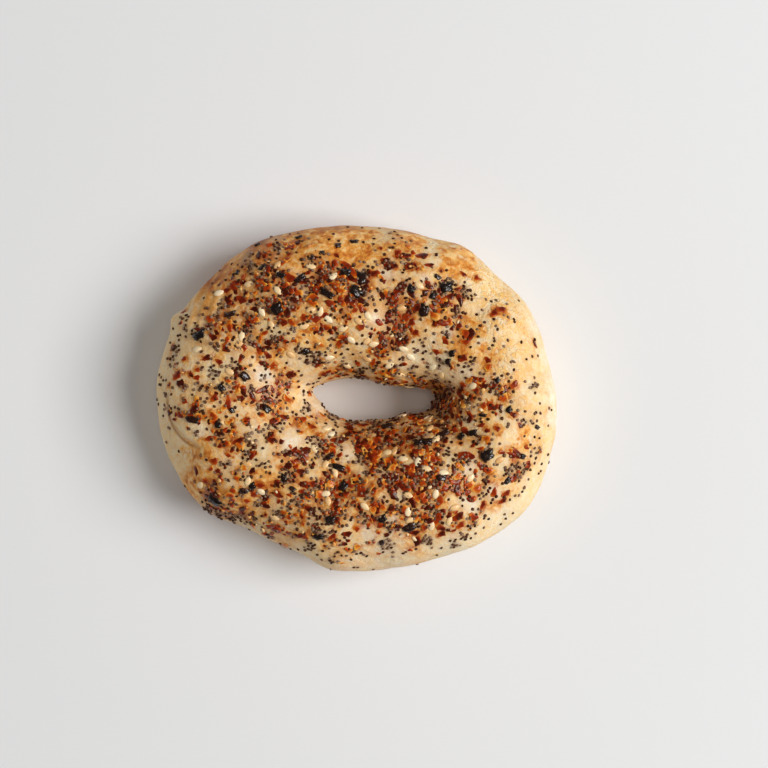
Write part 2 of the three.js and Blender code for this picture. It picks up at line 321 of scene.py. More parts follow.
# Golden, glazed patches where sugar ran from the onion: (x, y, reach, strength), millimetres.
GOLDEN = [
    (-16.5, 44.9, 3, 0.7), (-3.8, 44.3, 4, 0.9), (4.5, 43, 3, 0.7), (-24.4, 34, 2.5, 0.6),
    (-11, 48.5, 4, 1.2), (3, 48, 4.5, 1.1), (13, 46.5, 4, 0.9), (-20, 48, 3, 0.6), (-30, 43, 3, 0.6),
    (32, 43, 4, 0.6), (-16, 41, 3, 0.8), (33, 14, 4, 0.6), (42, 16, 4, 0.5), (2, 43, 4, 0.5),
    (-36, 41, 3, 0.5), (-46, 33, 3, 0.4), (-50, -27, 2.6, 0.9), (-19.6, 23.7, 3, 0.6),
    (-14.7, 19.5, 3, 1.0), (-9.9, 17.6, 2.6, 1.0), (-3.8, 17.6, 2.2, 0.7), (28.4, 40.4, 4, 0.9),
    (34.2, 41.7, 3.5, 0.8), (36.8, 20.4, 2.8, 0.8), (38, 17.2, 2.4, 0.8), (26, 25, 5, 0.8),
    (33, 21.5, 2.4, 0.8), (32.3, 17.4, 2, 0.8), (28.4, 26.2, 2.4, 0.8), (9.6, 13.3, 2.2, 0.6),
    (20.6, 11.3, 2, 0.5), (36.8, 7.5, 2, 0.6), (47.1, 6.2, 2.4, 0.6), (45.8, 24.9, 2.2, 0.7),
    (-9.9, -5.5, 2.2, 0.9), (-22.6, -12.1, 1.6, 0.6), (-25.6, -23, 3.5, 0.7), (-40.8, -29.7, 3.4, 0.9),
    (-33, -31.4, 3.6, 0.9), (-19.6, -17.6, 2, 0.7), (-45.6, -14.5, 2.4, 0.5), (-18.4, -7.9, 2.4, 0.7),
    (-16, -40, 2.6, 0.7), (-5, -37.6, 2.4, 0.8), (-9.5, -45.5, 2.6, 0.5), (38.7, -5.8, 2.4, 1.0),
    (43.2, -9.7, 2, 0.9), (50.6, -15, 1.8, 1.0), (43.2, -24.6, 2, 0.7), (42.6, -33, 1.8, 1.0),
    (15.5, -14.2, 2, 0.9), (20, -29, 2, 0.9), (1.9, -29, 3, 0.8), (26.4, -29.7, 2.4, 0.7),
    (17.4, -42.7, 2.2, 0.9), (18.7, -45.9, 1.8, 0.8), (1.2, -39.4, 2, 0.9), (8.3, -35, 2, 0.7),
    (-46.5, -26, 4, 0.8), (-46, -17.5, 3, 0.5), (-12, 18, 2.4, 0.6), (-24, 11.5, 2.4, 0.8),
    (-42, 13, 2, 0.7), (31, 16, 4, 0.7), (36, 20, 4, 0.7), (-18, 42, 4, 0.5), (41, 12, 3, 0.5),
    (-12, 46, 4, 0.4), (-47, -25, 3.4, 0.9), (-4, 46.5, 4, 0.8), (-11, 20.3, 2, 0.8),
    (50.6, -12, 1.6, 1.0), (27, 46.5, 3, 1), (20, 48.5, 4, 1), (-50, -16, 4.5, 0.6), (30, 38.8, 3, 1),
    (-47, -26, 3, 1), (50.6, -9.6, 1.3, 0.8), (-24.5, -2.4, 1.8, 0.9), (-10.3, -5, 1.6, 0.9),
    (-16.4, -10.6, 1.8, 0.8), (-13.6, -8.6, 1.8, 0.8), (-22.6, -10, 1.4, 0.6), (-29, -6.6, 1.5, 0.5),
    (-21, -1, 1.7, 0.6), (-18, -19.8, 2.6, 0.8), (-17, -24, 2, 0.6), (-26, -27, 2.4, 0.6),
    (-37, -28, 2.4, 0.5), (-28, -22.6, 1.5, 0.5), (-33.2, -1.6, 1.4, 0.5), (-32.6, -11, 1.2, 0.5),
    (52, -9.5, 1.5, 0.6),
]
# Where the toppings lie thick: (x, y, reach in x, reach in y, strength), millimetres.
THICK = [
    (-20, 33, 15, 11, 0.8), (3, 34, 14, 11, 0.8), (23, 28, 11, 12, 0.7), (-6, 16, 20, 7, 0.45),
    (16, 14, 14, 8, 0.45), (24, 3, 14, 6, 0.8), (40, 1, 12, 7, 0.5), (-38, 12, 13, 15, 0.42),
    (-34, -13, 14, 11, 0.42), (-14, -14, 14, 10, 0.55), (-8, -33, 14, 11, 0.75), (12, -16, 18, 9, 1.0),
    (15, -33, 16, 9, 0.85), (36, -14, 13, 9, 0.75), (33, -31, 10, 8, 0.65), (-40, -31, 8, 5, 0.5),
    (47, -22, 6, 8, 0.3), (-18, 36, 10, 6, 0.3), (-40, 20, 7, 4, 1.1), (-37, 17, 4, 4, 0.3),
    (-20, 6, 3.5, 4.5, 1.2), (-27, -1, 4, 5, 1.0), (-43, 3, 4, 4, 0.9), (-34, 5, 4, 4, 0.9),
    (-48, -6, 4, 3, 0.8), (-1, 32, 5, 4, 1.3), (-8, 33, 5, 4, 0.6), (27, 31, 5, 4, 1.2),
    (35, 31, 3, 3, 1.0), (14, 31, 4, 4, 0.4), (12, 26, 3, 4, 0.4), (-38, 34, 4, 4, 0.7),
    (-23, 28, 4, 4, 0.9), (-28, 22, 3, 3, 0.4), (-10, 24, 4, 3, 0.6), (-5, 21, 4, 3, 0.3),
    (-14, 14, 3, 3, 0.6), (-8, 9, 3, 4, 0.3), (20, 0, 5, 5, 0.7), (14, -5, 5, 4, 0.5),
    (24, -14, 4, 4, 0.7), (22, -25, 7, 4, 1.0), (6, -16, 4, 4, 0.6), (-11, -30, 4, 5, 0.9),
    (-32, -27, 5, 3, 0.8), (-8, -25, 3, 4, 0.7), (-6, -19, 3, 3, 0.6), (-15, -17, 4, 3, 0.6),
    (48, -23, 4, 5, 0.5), (50, -9, 4, 3, 0.3), (30, -38, 3, 4, 0.7), (15, -41, 5, 3, 1.4),
    (42, 2, 4, 5, 0.4), (3, -27, 5, 3, 0.5), (-34, -14, 4, 4, 0.6), (-40, -9, 3, 4, 0.4),
    (-21, -6, 4, 3, 0.6), (-17, -35, 4, 2.5, 0.6), (-47, -30, 4, 3, 0.6), (-30, -38, 4, 3, 0.6),
    (-25, -41, 4, 3, 0.4), (13, 42, 5, 2.5, 0.6), (-10, 43, 3, 4, 0.5), (-21, 46, 4, 3, 0.5),
    (-27, 39, 4, 4, 0.5), (-31, 27, 3, 3, 0.4), (32, 22, 3, 5, 1.0), (16, 16, 3, 3, 0.2),
    (5, 16, 4, 2, 0.4), (12, 7, 6, 2, 0.3), (45, 17, 5, 3, 0.3), (43, 26, 2, 4, 0.1),
    (-28, 12, 4, 3, 0.8), (-22, -20, 3, 2, 0.5), (-43, -22, 3, 3, 0.6), (46, -15, 3, 3, 0.3),
    (31, -13, 3, 3, 0.5), (4, 24, 2.5, 4, 0.4), (-19, -34, 3, 3, 0.4), (9, 38, 5, 4, 0.6),
    (-38, -4, 3, 3, 0.6), (48, -24, 4, 5, 0.7), (37, -30, 3, 3, 0.6), (54, -8, 2, 3, 0.3),
    (20, -25, 5, 4, 0.4), (-12, -31, 3, 3, 0.4), (-3, -38, 3, 3, 0.5), (6, -45, 3, 4, 0.4),
    (-21, 9, 3, 3, 0.5), (-39, 17, 5, 4, 0.4), (-33, -23, 5, 3, 0.4), (-17, -22, 3, 3, 0.4),
    (22, -16, 5, 4, 0.4), (41, -20, 3, 3, 0.4), (49, -8, 3, 3, 0.3), (30, -39, 4, 3, 0.4),
    (-8, 20, 3, 3, 0.4), (47, 16, 3, 3, 0.3), (-21, 9, 3, 3, 0.5), (-27, -4, 3, 3, 0.5),
    (-15, 16, 3, 3, 0.3), (45, -4, 3, 3, 0.5), (46, -14, 3, 3, 0.6), (20, -13, 4, 4, 0.4),
    (-21.5, 15.5, 3, 2.5, 0.6), (-42.5, 4.5, 2.5, 2.5, 0.6), (-50, -7.5, 3, 1.6, 0.6),
    (-30, -18.5, 2.5, 3, 0.5), (1, 30, 3, 3, 0.8), (28, 30.5, 3, 3, 0.6), (16, -40, 5, 2, 0.6),
    (26, -41, 4, 2, 0.5), (32, -13, 3, 3, 0.4), (-44, -27, 4, 3, 0.3),
]
# Rims that stayed clear of toppings: (x, y, reach in x, reach in y, strength), millimetres.
CLEAR_RIMS = [
    (42, 33, 14, 9, 0.9), (50, 20, 8, 10, 0.7), (58, 0, 5, 20, 0.8), (52, -31, 8, 8, 0.95),
    (38, -43, 14, 6, 0.9), (14, -50, 24, 4.5, 0.9), (-42, 38, 8, 7, 0.7), (-50, 29, 4, 5, 0.8),
    (-52, -20, 5, 9, 0.95), (31, 42, 9, 4, 0.9), (0, 50, 22, 3, 0.8), (-50, -15, 6, 8, 0.6),
    (24, 46, 8, 3, 0.8), (-2, 45.5, 11, 3.4, 0.65),
]
# Gaps between the flakes, with only a few poppy seeds: written the same way.
BARE = [
    (-14, -3, 5, 5, 0.3), (-17, 42, 5, 4, 0.8), (2, 43, 5, 2.5, 0.7), (16, 37, 5, 2.5, 0.8),
    (6, 34.5, 2.5, 4, 1.0), (5, 27, 3, 3, 0.6), (-5, 26, 4, 3, 0.4), (21, 15, 6, 6, 1.0),
    (28, 19, 3, 4, 0.8), (20, 32, 2.5, 3, 0.8), (12, 11, 5, 3, 0.6), (3, 12, 4, 3, 0.7),
    (27, 7, 8, 2.5, 0.9), (38, 27, 3, 3, 0.6), (40, 19, 5, 6, 1.0), (35, 14, 5, 3, 0.9),
    (45, 11, 5, 4, 0.6), (50, 3, 4, 4, 0.9), (52, -6, 4, 3, 0.6), (36, -1, 4, 3, 0.5),
    (-53, 18, 5, 7, 0.6), (-53, 4, 3, 3, 0.7), (-46, 28, 6, 3, 0.5), (-18, 20, 4, 3, 0.8),
    (-3, 15, 3, 3, 0.6), (-26, 20, 5, 2.5, 0.6), (-20, 13, 5, 3, 1.0), (-15, 8, 3, 4, 0.9),
    (-28, 7, 3, 3, 0.6), (-44, 9, 3, 3, 1.0), (-36, 11, 3, 2, 0.5), (-7, 14, 4, 2.5, 0.6),
    (-15, -1, 4, 3, 0.9), (-34, -3, 4, 4, 0.8), (-36, -9, 4, 3, 0.7), (-28, -9, 3, 3, 0.6),
    (-19, -11, 4, 4, 0.9), (-26, -16, 4, 4, 0.9), (-37, -19, 3, 3, 0.8), (-44, -17, 5, 3, 0.7),
    (-27, -22, 3, 4, 0.6), (-20, -31, 3, 2, 0.4), (-3, -16, 4, 4, 0.9), (0, -20, 2.5, 3, 0.4),
    (6, -10, 3, 2.5, 0.4), (35, -16, 6, 4, 0.9), (46, -8, 4, 3, 1.0), (42, -20, 3, 3, 0.9),
    (41, -9, 3, 4, 0.7), (28, -18, 3, 5, 0.7), (45, -32, 5, 6, 1.0), (53, -20, 3, 4, 0.8),
    (29, -31, 5, 2.5, 0.8), (35, -29, 3, 3, 0.5), (20, -31, 3, 2, 0.5), (12, -31, 3, 3, 0.7),
    (0, -33, 4, 2, 0.3), (22, -45, 4, 4, 0.9), (31, -45, 4, 3, 0.9), (-1, -39, 5, 3, 1.0),
    (-14, -47, 5, 6, 0.8), (-32, 42, 3, 4, 0.9), (-6, 42, 4, 3, 0.5), (-24, 47, 3, 3, 0.5),
    (48, -13, 3, 3, 0.8), (-10, 19, 3, 3, 0.9), (-38, -26, 3, 3, 0.9), (-16, -23, 5, 3, 0.9),
    (-42, 15, 3, 3, 0.8), (24, 11, 4, 3, 0.8), (46, 8, 3, 4, 0.4), (32, 36, 4, 3, 0.8),
    (43, -37, 6, 3, 0.9), (20, 21, 2.5, 4, 0.9), (-48, 15, 4, 3, 0.6), (14.5, 35.5, 2.5, 2, 0.7),
    (33.5, 13.5, 3, 2, 0.6), (-32, 13, 3, 2, 0.6), (-32, -16.7, 2, 3, 0.65), (-27, -23, 2.5, 4, 0.7),
    (12, -31, 4, 2, 0.5), (52, -26.5, 2, 2, 0.8), (23, -43, 3, 4, 0.8), (-8, -9, 3, 2, 0.7),
    (1, 19, 2, 3, 0.7), (-42, 9, 4, 2, 0.8), (-22, 12.5, 4, 2, 0.8), (38, 26, 4, 3, 0.6),
    (-43.5, -3, 3, 3, 0.9), (-17, 20, 3, 2, 0.6), (45, -18, 2, 2, 0.7), (47, -0.5, 3, 3, 0.6),
    (-26, -7, 4, 2, 0.6), (10, -40, 3, 2, 0.6), (32, 28, 2, 3, 0.5), (25, 45, 4, 3, 0.6),
    (0, 26, 2.5, 2, 0.6), (-9, 28.5, 3, 2, 0.6), (-19, 38, 3, 2, 0.6), (-24.5, 10.5, 2.5, 2, 0.6),
    (-24, 19.5, 3, 1.5, 0.5), (-18, -3, 3, 2, 0.7), (7.5, 38.5, 2, 2, 0.6), (7.5, 26, 2, 4, 0.8),
    (15.3, -18.2, 2, 1.5, 0.6), (20.3, 15, 2.5, 2, 0.5), (-36.5, 10.3, 2.5, 2, 0.8),
    (39, 24.7, 3, 3, 0.6), (24.5, 45, 3, 2, 0.7), (8, 40, 2, 1.6, 0.6), (0, 22, 2, 2, 0.5),
    (-16.5, 27, 2, 2, 0.6), (-31, 19, 2, 2, 0.5), (-26, 44, 2, 2, 0.5), (-44, 28, 3, 3, 0.5),
    (-50, 9.5, 2, 3, 0.6), (-16.5, 8, 2, 2.5, 0.5), (-23, -7.5, 2, 2, 0.6), (-46, -11, 3, 2, 0.5),
    (-41, -13, 2, 2, 0.6), (-11, -21, 2, 2, 0.6), (29, 4.5, 3, 2, 0.5), (39, 0, 3, 2, 0.5),
    (50.5, -5.5, 2, 2, 0.6), (28.5, -21, 2, 2, 0.5), (37.5, -25.5, 2, 2, 0.5), (25.5, -36, 2, 2, 0.5),
    (34, -35, 2, 2, 0.5), (31, -43.5, 3, 2, 0.5), (0, -43, 3, 2, 0.5), (-3, -30, 2, 2, 0.5),
    (-35, -30.5, 2, 2, 0.5), (-24, -39, 3, 2, 0.5), (-44, -34, 3, 2, 0.5), (43.3, -26.2, 1.6, 2, 0.6),
    (15.5, -18, 2.2, 2.2, 0.6), (42.5, -14, 2, 2, 0.7), (20, 14.3, 1.6, 2.4, 0.8),
    (31.5, -7, 2.5, 2, 0.8), (14.8, -42.8, 1.8, 1.6, 0.7), (-21, 20.7, 3, 1.5, 0.7),
    (-26, -27.8, 2.4, 2.6, 0.7), (9, -40.5, 2.6, 1.8, 0.6), (58, 10, 2, 2, 1), (51, -12, 2.5, 4, 1),
]
# Paler, cream patches, some of them painted light on slopes that face away from the window:
# (x, y, reach, strength), millimetres.
CREAM_AND_PAINTED_LIGHT = [
    (21, 15, 5, 0.8), (24, 11, 3.5, 0.6), (40, 18, 3.5, 0.7), (34, 13, 3, 0.5), (-10, 19, 2.5, 0.6),
    (-15, 8, 3, 0.6), (-44, 9, 3, 0.5), (-42, 15, 3, 0.4), (-53, 17, 4, 0.6), (-32, 42, 3, 0.6),
    (-24, 48, 3, 0.5), (24, 45, 5, 0.7), (31, 37, 4, 0.7), (40, 35, 5, 0.6), (6, 33, 3, 0.5),
    (7, 26.5, 2, 0.3), (0, 25, 3, 0.4), (10, 10, 3, 0.5), (28, 6, 5, 0.6), (46, 9, 4, 0.4),
    (47, -8, 3, 0.7), (49, -13, 3, 0.6), (54, -19, 3, 0.6), (42, -14, 3, 0.5), (44, -20, 3, 0.5),
    (36, -17, 3, 0.4), (-38, -26, 3, 0.6), (-27, -16, 3, 0.35), (-37, -18, 3, 0.5), (-34, -1, 3, 0.5),
    (-50, -12, 5, 0.5), (-49, -21, 3, 0.5), (-19, -14, 3, 0.4), (-25, -36, 5, 0.5), (-44, -34, 4, 0.4),
    (22, -45, 4, 0.7), (31, -44, 4, 0.6), (44, -36, 6, 0.6), (-14, -48, 8, 0.6), (0, -39, 3, 0.5),
    (13, -31, 3, 0.5), (17, -18, 3, 0.5), (-9, -9, 3, 0.5), (35, -7, 3, 0.4), (10, 50, 8, 0.4),
    (-14, 43, 4, 0.4), (-20, 38, 3, 0.5), (52, 4, 3, 0.5), (-56, 12, 4, 0.5), (-57, -4, 4, 0.5),
    (14, 35.5, 2.5, 0.5), (-31, -17, 3, 0.5), (52.5, -27, 3, 0.6), (-22, 12.5, 3, 0.5),
    (24, 44, 3, 0.4), (-18, -48, 5, 0.4), (10, -50, 6, 0.4), (45, -18.5, 2, 0.6),
    (-43.5, -2.5, 2.5, 0.4), (-17, 20.5, 2.5, 0.5), (36, 27, 3, 0.5), (43, -5, 2.5, 0.3),
    (39, 25, 3, 0.5), (25, 46, 3, 0.6), (-36.5, 10.3, 2, 0.4), (-50, 9.5, 2.5, 0.4),
    (24.5, 15.5, 3, 0.5), (-26, -27, 2.4, 0.6), (41, -27.5, 2.4, 0.3), (-27, -14.6, 2.2, 0.8),
    (-14.6, 3.4, 2, 0.6), (-12.8, -15, 1.4, 0.8), (-31.6, -5, 2, 0.5), (-35, -6, 2, 0.5),
    (-22.4, 2, 1.6, 0.5),
]
CREAM_DOUGH = (246, 226, 188)
PALE_DOUGH = (240, 215, 172)
GOLDEN_DOUGH = (226, 160, 80)
BROWN_DOUGH = (190, 106, 42)
DARK_DOUGH = (120, 58, 24)
FLOUR_WHITE = (241, 233, 215)
WET_DOUGH = (186, 142, 98)
WET_PALE = (238, 210, 168)
GLAZE_DEEP = (190, 100, 32)
GLAZE_GOLD = (232, 156, 66)
GLAZE_THIN = (248, 206, 140)
ONION_JUICE = (192, 106, 38)
JUICE_BY_FLAKES = (140, 62, 20)
# Seed dust, and painted shade between crowded seeds.
SEED_DUST_AND_SHADE = (140, 108, 84)
HEAP_DARKENING = (150, 78, 36)
BLISTER_GOLD = (240, 178, 84)
# The colour of the painted shade in the crease of the fold.
FOLD_SHADE_COLOUR = (142, 88, 42)
FLECK_GOLD = (246, 200, 120)

# How brown the skin is painted, from 0 for pale to 1 for dark; some of it is painted shade and
# painted light.
BROWN_ALL_OVER = 0.16
BROWN_MOTTLE = 0.22
BROWN_MOST = 0.85
BROWN_ON_MARKS = 0.09
SHADE_IN_FOLD = 0.25
FAR_LEFT_TOAST_AND_SHADE = 0.14
BROWN_BASE = 0.42
BROWN_BASE_MOTTLE = 0.25
PALE_AND_LIT_ENDS = 0.14  # how much paler the rim is painted at the two ends of the ring, as pale dough and, on the left end away from the window, painted light
CREASE_WIDTH = 0.35 * MM
FLOUR_EDGE = 1.4  # above 1, a patch of flour ends more sharply


def srgb(colour):
    """A colour of three numbers up to 255, as the linear light that a shader takes."""
    parts = [part / 255 for part in colour]
    return tuple(p / 12.92 if p < 0.04045 else ((p + 0.055) / 1.055) ** 2.4 for p in parts) + (1.0,)


def found(sockets, key):
    """The socket of a node with this number, name or identifier."""
    if isinstance(key, int):
        return sockets[key]
    return next(s for s in sockets if key in (s.name, s.identifier) and s.enabled)


class Number:
    """A value in a shader that takes part in Python sums."""

    def __init__(self, finish, socket):
        self.finish = finish
        self.socket = socket

    def worked(self, operation, first, second=0.0):
        return self.finish.node("ShaderNodeMath", {"operation": operation}, {0: first, 1: second})

    def __add__(self, other):
        return self.worked("ADD", self, other)

    def __radd__(self, other):
        return self.worked("ADD", other, self)

    def __sub__(self, other):
        return self.worked("SUBTRACT", self, other)

    def __rsub__(self, other):
        return self.worked("SUBTRACT", other, self)

    def __mul__(self, other):
        return self.worked("MULTIPLY", self, other)

    def __rmul__(self, other):
        return self.worked("MULTIPLY", other, self)


class Finish:
    """A material for one piece, its nodes written as sums and calls."""

    def __init__(self, name):
        self.material = bpy.data.materials.new(name)
        self.material.use_nodes = True
        self.tree = self.material.node_tree
        self.shader = next(n for n in self.tree.nodes if n.type == "BSDF_PRINCIPLED")

    def fill(self, node, values):
        """Links or sets the sockets of a node."""
        for key, value in values.items():
            socket = found(node.inputs, key)
            if isinstance(value, Number):
                self.tree.links.new(value.socket, socket)
            else:
                socket.default_value = value

    def node(self, kind, settings, values, result=0):
        """Adds a node with its settings and sockets, and gives one of its results."""
        node = self.tree.nodes.new(kind)
        for name, value in settings.items():
            if name == "stops":
                ramp = node.color_ramp.elements
                ramp.remove(ramp[1])
                ramp[0].position = value[0][0]
                ramp[0].color = srgb(value[0][1])
                for place, colour in value[1:]:
                    ramp.new(place).color = srgb(colour)
            else:
                setattr(node, name, value)
        self.fill(node, values)
        return Number(self, found(node.outputs, result))

    def painted(self, name):
        """A number that was painted on the piece."""
        return self.node("ShaderNodeAttribute", {"attribute_name": name}, {}, "Fac")

    def place(self):
        return self.node("ShaderNodeTexCoord", {}, {}, "Object")

    def grain(self, apart, detail, distortion=0.0):
        """Noise from about 0.2 to 0.8, its lumps about apart from each other."""
        values = {"Vector": self.place(), "Scale": 1 / apart, "Detail": detail, "Distortion": distortion}
        return self.node("ShaderNodeTexNoise", {}, values, "Fac")

    def step(self, value, low, high):
        """0 below low, 1 above high and a soft step between."""
        values = {"Value": value, "From Min": low, "From Max": high}
        return self.node("ShaderNodeMapRange", {"interpolation_type": "SMOOTHSTEP"}, values)

    def mix(self, share, first, second):
        colours = [c if isinstance(c, Number) else srgb(c) for c in (first, second)]
        values = {"Factor_Float": share, "A_Color": colours[0], "B_Color": colours[1]}
        return self.node("ShaderNodeMix", {"data_type": "RGBA"}, values, "Result_Color")

    def ramp(self, stops, share):
        """The colour at this share of the way along a row of stops."""
        return self.node("ShaderNodeValToRGB", {"stops": stops}, {"Fac": share}, "Color")

    def bump(self, height, distance, strength):
        values = {"Height": height, "Distance": distance, "Strength": strength}
        return self.node("ShaderNodeBump", {}, values, "Normal")


def patches(spots, power=1.0):
    """Sum of soft patches seen from above, at each point of the skin."""
    total = np.zeros(len(skin))
    for x, y, reach_x, reach_y, strength in spots:
        away = ((seen_x - x) / reach_x) ** 2 + ((seen_y - y) / reach_y) ** 2
        total += strength * np.exp(-(away**power))
    return total


def round_patches(spots, power=1.0):
    """The same for patches that reach as far in y as in x."""
    return patches([(x, y, reach, reach, strength) for x, y, reach, strength in spots], power)


def fold_line(width):
    """1 along the bottom of the fold, fading out over width on both sides."""
    away = fold_outside(skin_x, skin_y) / width
    return fold_share(skin_x, skin_y) * np.exp(-(away**2))


mottle = waves(skin, 6 * MM, 5) + 0.6 * waves(skin, 2.6 * MM, 6)
pale_and_lit_rim_ends = smooth(across, 0.7, 0.95) * smooth(np.abs(skin_x), 20 * MM, 45 * MM)
under = smooth(-up, -0.05, 0)
far_left = smooth(skin_y, 10 * MM, 40 * MM) * smooth(-skin_x, -30 * MM, 0)
# The browned patches bring painted shade and, where negative, painted light.
brown = BROWN_ALL_OVER + BROWN_MOTTLE * mottle + patches(BROWNED_SHADED_AND_LIT) * (1 + 0.7 * mottle)
brown += BROWN_ON_MARKS * stretch_marks(skin_x, skin_y)
# The rim is painted paler at both ends of the ring; on the left end, away from the window, this is painted
# light.
brown -= PALE_AND_LIT_ENDS * pale_and_lit_rim_ends
# Darker along the fold: painted shade in its groove.
brown += SHADE_IN_FOLD * fold_line(FOLD_WIDTH)
brown = brown * (1 - under) + under * (BROWN_BASE + BROWN_BASE_MOTTLE * mottle)
# Browner on the upper left, away from the window: toast, and painted shade.
brown += FAR_LEFT_TOAST_AND_SHADE * far_left
flour = round_patches(FLOURED, FLOUR_EDGE)
flour = np.clip(flour * (0.9 + 0.7 * waves(skin, 2 * MM, 7)), 0, 1)
clear = np.clip(patches(CLEAR_RIMS), 0, 1)
bare = np.clip(patches(BARE) + clear, 0, 1)
heaped = patches(THICK) * (1 - bare) ** 1.5
wet = np.minimum(heaped, 1) * (0.75 + 0.5 * waves(skin, 4.5 * MM, 10)) * (1 - flour)
gold = round_patches(GOLDEN) * (1 + 1.2 * waves(skin, 3 * MM, 8))
cream = round_patches(CREAM_AND_PAINTED_LIGHT) * (0.9 + 0.7 * waves(skin, 3 * MM, 12))
pale = 0.45 * np.clip(1.1 - 1.6 * brown, 0, 1)
paint(dough, "brown", np.clip(brown, 0, BROWN_MOST))
# Cream patches, partly painted light.
paint(dough, "cream", np.clip(cream, 0, 1) * on_dome)
paint(dough, "gold", np.clip(gold, 0, 1) * on_dome)
paint(dough, "blister", np.clip(patches(BLISTERED), 0, 1) * on_dome)
paint(dough, "flour", flour * on_dome)
paint(dough, "pale", pale * on_dome)
paint(dough, "wet", np.clip(wet, 0, 1) * on_dome)
# The crease is painted shade along the fold.
paint(dough, "crease", fold_line(CREASE_WIDTH) * on_dome)


def crust_finish():
    """Baked dough: a thin, slightly oily skin, blistered and mottled."""
    crust = Finish("baked crust")
    medium = crust.grain(3.4 * MM, detail=3.0, distortion=0.4)
    fine = crust.grain(1.1 * MM, detail=3.0, distortion=0.6)
    grit = crust.grain(0.45 * MM, detail=2.0, distortion=0.3)

    # The dough itself, from pale to dark, damp and paler in spots under the toppings.
    browning = crust.painted("brown") + (medium - 0.5) * 0.5 + (fine - 0.5) * 0.55
    browning = browning + (grit - 0.5) * 0.25
    stops = [(0.0, PALE_DOUGH), (0.36, GOLDEN_DOUGH), (0.72, BROWN_DOUGH), (1.0, DARK_DOUGH)]
    colour = crust.ramp(stops, browning)
    dried = crust.step(crust.grain(1.9 * MM, detail=3.0, distortion=0.8), 0.38, 0.6)
    damp = crust.mix(dried, WET_DOUGH, WET_PALE)
    colour = crust.mix(crust.painted("wet") * (0.5 + medium * 0.8), colour, damp)

    # Blisters, golden in blotches and cream in specks, and the cream patches, partly painted light.
    blister = crust.painted("blister")
    blotch = crust.step(crust.grain(2.6 * MM, detail=2.0, distortion=0.7), 0.41, 0.6)
    speck = crust.step(crust.grain(0.9 * MM, detail=1.0, distortion=0.3), 0.5, 0.66)
    colour = crust.mix(blister * 0.5, colour, PALE_DOUGH)
    colour = crust.mix(blister * blotch, colour, BLISTER_GOLD)
    colour = crust.mix(blister * speck * 0.65, colour, CREAM_DOUGH)
    colour = crust.mix(crust.painted("cream") * (0.4 + fine * 0.7), colour, CREAM_DOUGH)

    # Golden syrup, the onion's juice, darkest right beside the flakes, and darker brown where the flakes
    # lie in heaps.
    clean = 1 - crust.painted("flour") * 0.8 - crust.painted("cream") * 0.3
    juice = crust.painted("juice") * clean + (fine - 0.5) * 0.7
    runs = crust.grain(2.3 * MM, detail=2.0, distortion=0.9) + (fine - 0.5) * 0.2
    glaze = crust.step(runs, 0.47, 0.6)
    golden = crust.painted("gold") * clean + (fine - 0.5) * 0.9 + (medium - 0.5) * 0.6
    golden = golden + glaze * crust.painted("wet") * clean * 0.85
    stops = [(0.34, GLAZE_DEEP), (0.5, GLAZE_GOLD), (0.66, GLAZE_THIN)]
    syrup = crust.ramp(stops, crust.grain(2.4 * MM, detail=3.0, distortion=0.5))
    colour = crust.mix(crust.step(golden + juice * 0.9, 0.2, 0.85), colour, syrup)
    colour = crust.mix(crust.step(juice, 0.5, 0.95), colour, ONION_JUICE)
    colour = crust.mix(crust.step(juice, 0.85, 1.25), colour, JUICE_BY_FLAKES)
    colour = crust.mix(crust.painted("stain") * (0.4 + medium * 0.95) * clean, colour, HEAP_DARKENING)

    # Flecks in the pale places, flour, the dust of the seeds with painted shade among them, and
    # painted shade in the crease of the fold.
    fleck = crust.step(crust.grain(1.9 * MM, detail=2.0, distortion=0.5), 0.46, 0.6)
    floured = crust.painted("flour") * (0.3 + medium * 0.5 + blotch * 0.35)
    colour = crust.mix(fleck * crust.painted("pale"), colour, FLECK_GOLD)
    colour = crust.mix(floured, colour, FLOUR_WHITE)
    # Seed dust with painted shade where poppy seeds crowd.
    colour = crust.mix(crust.painted("dust") * (0.35 + fine * 0.8), colour, SEED_DUST_AND_SHADE)
    # Painted shade in the crease of the fold.
    colour = crust.mix(crust.painted("crease") * 0.75, colour, FOLD_SHADE_COLOUR)
    pucker = crust.grain(2.2 * MM, detail=2.0, distortion=0.3)
    height = fine * 0.5 + medium * 0.4 + grit * 0.25 + pucker * 0.6 + (blotch * 0.5 + speck * 0.3) * blister
    crust.fill(crust.shader, {
        "Base Color": colour,
        "Roughness": 0.62 - crust.painted("juice") * 0.22 - fine * 0.12,
        "Specular IOR Level": 0.2,
        "Specular Tint": (1.0, 0.84, 0.62, 1.0),
        "Coat Weight": 0.03 + crust.painted("juice") * 0.15,
        "Coat Roughness": 0.15,
        "Subsurface Weight": 0.2,
        "Subsurface Radius": (1.0, 0.6, 0.35),
        "Subsurface Scale": 2.0 * MM,
        "Normal": crust.bump(height, 0.45 * MM, 0.9),
    })
    return crust.material


# ---------------------------------------------------------------------------------------
# Poppy seeds. Kidney-shaped, slate-grey to black, a millimetre long, pressed into the wet
# dough by the hundred before it was baked, most of them on the crown.

POPPY_LENGTH = 1.08 * MM
POPPY_POINTS = 26  # points of one seed's mesh
# Stops above the middle are reached only on the seeds' tops, as painted light.
POPPY_COLOURS = [
    (0.0, (52, 22, 12)),
    (0.3, (82, 48, 30)),
    (0.6, (130, 98, 76)),
    (1.0, (176, 150, 128)),
]
PEPPERED = 0.11  # loose seeds between the groups
SPARSE = 0.05  # toppings where none are heaped, as a share of the thickest
HEAPED_MOST = 1.7
FLOUR_BARES = 0.8
RIM_CLEAR = 0.84  # place across the rope where the toppings thin out
STEEP_BARE = 0.38  # height up the section below which nothing stayed on
STEEP_FULL = 0.62  # and above which all did
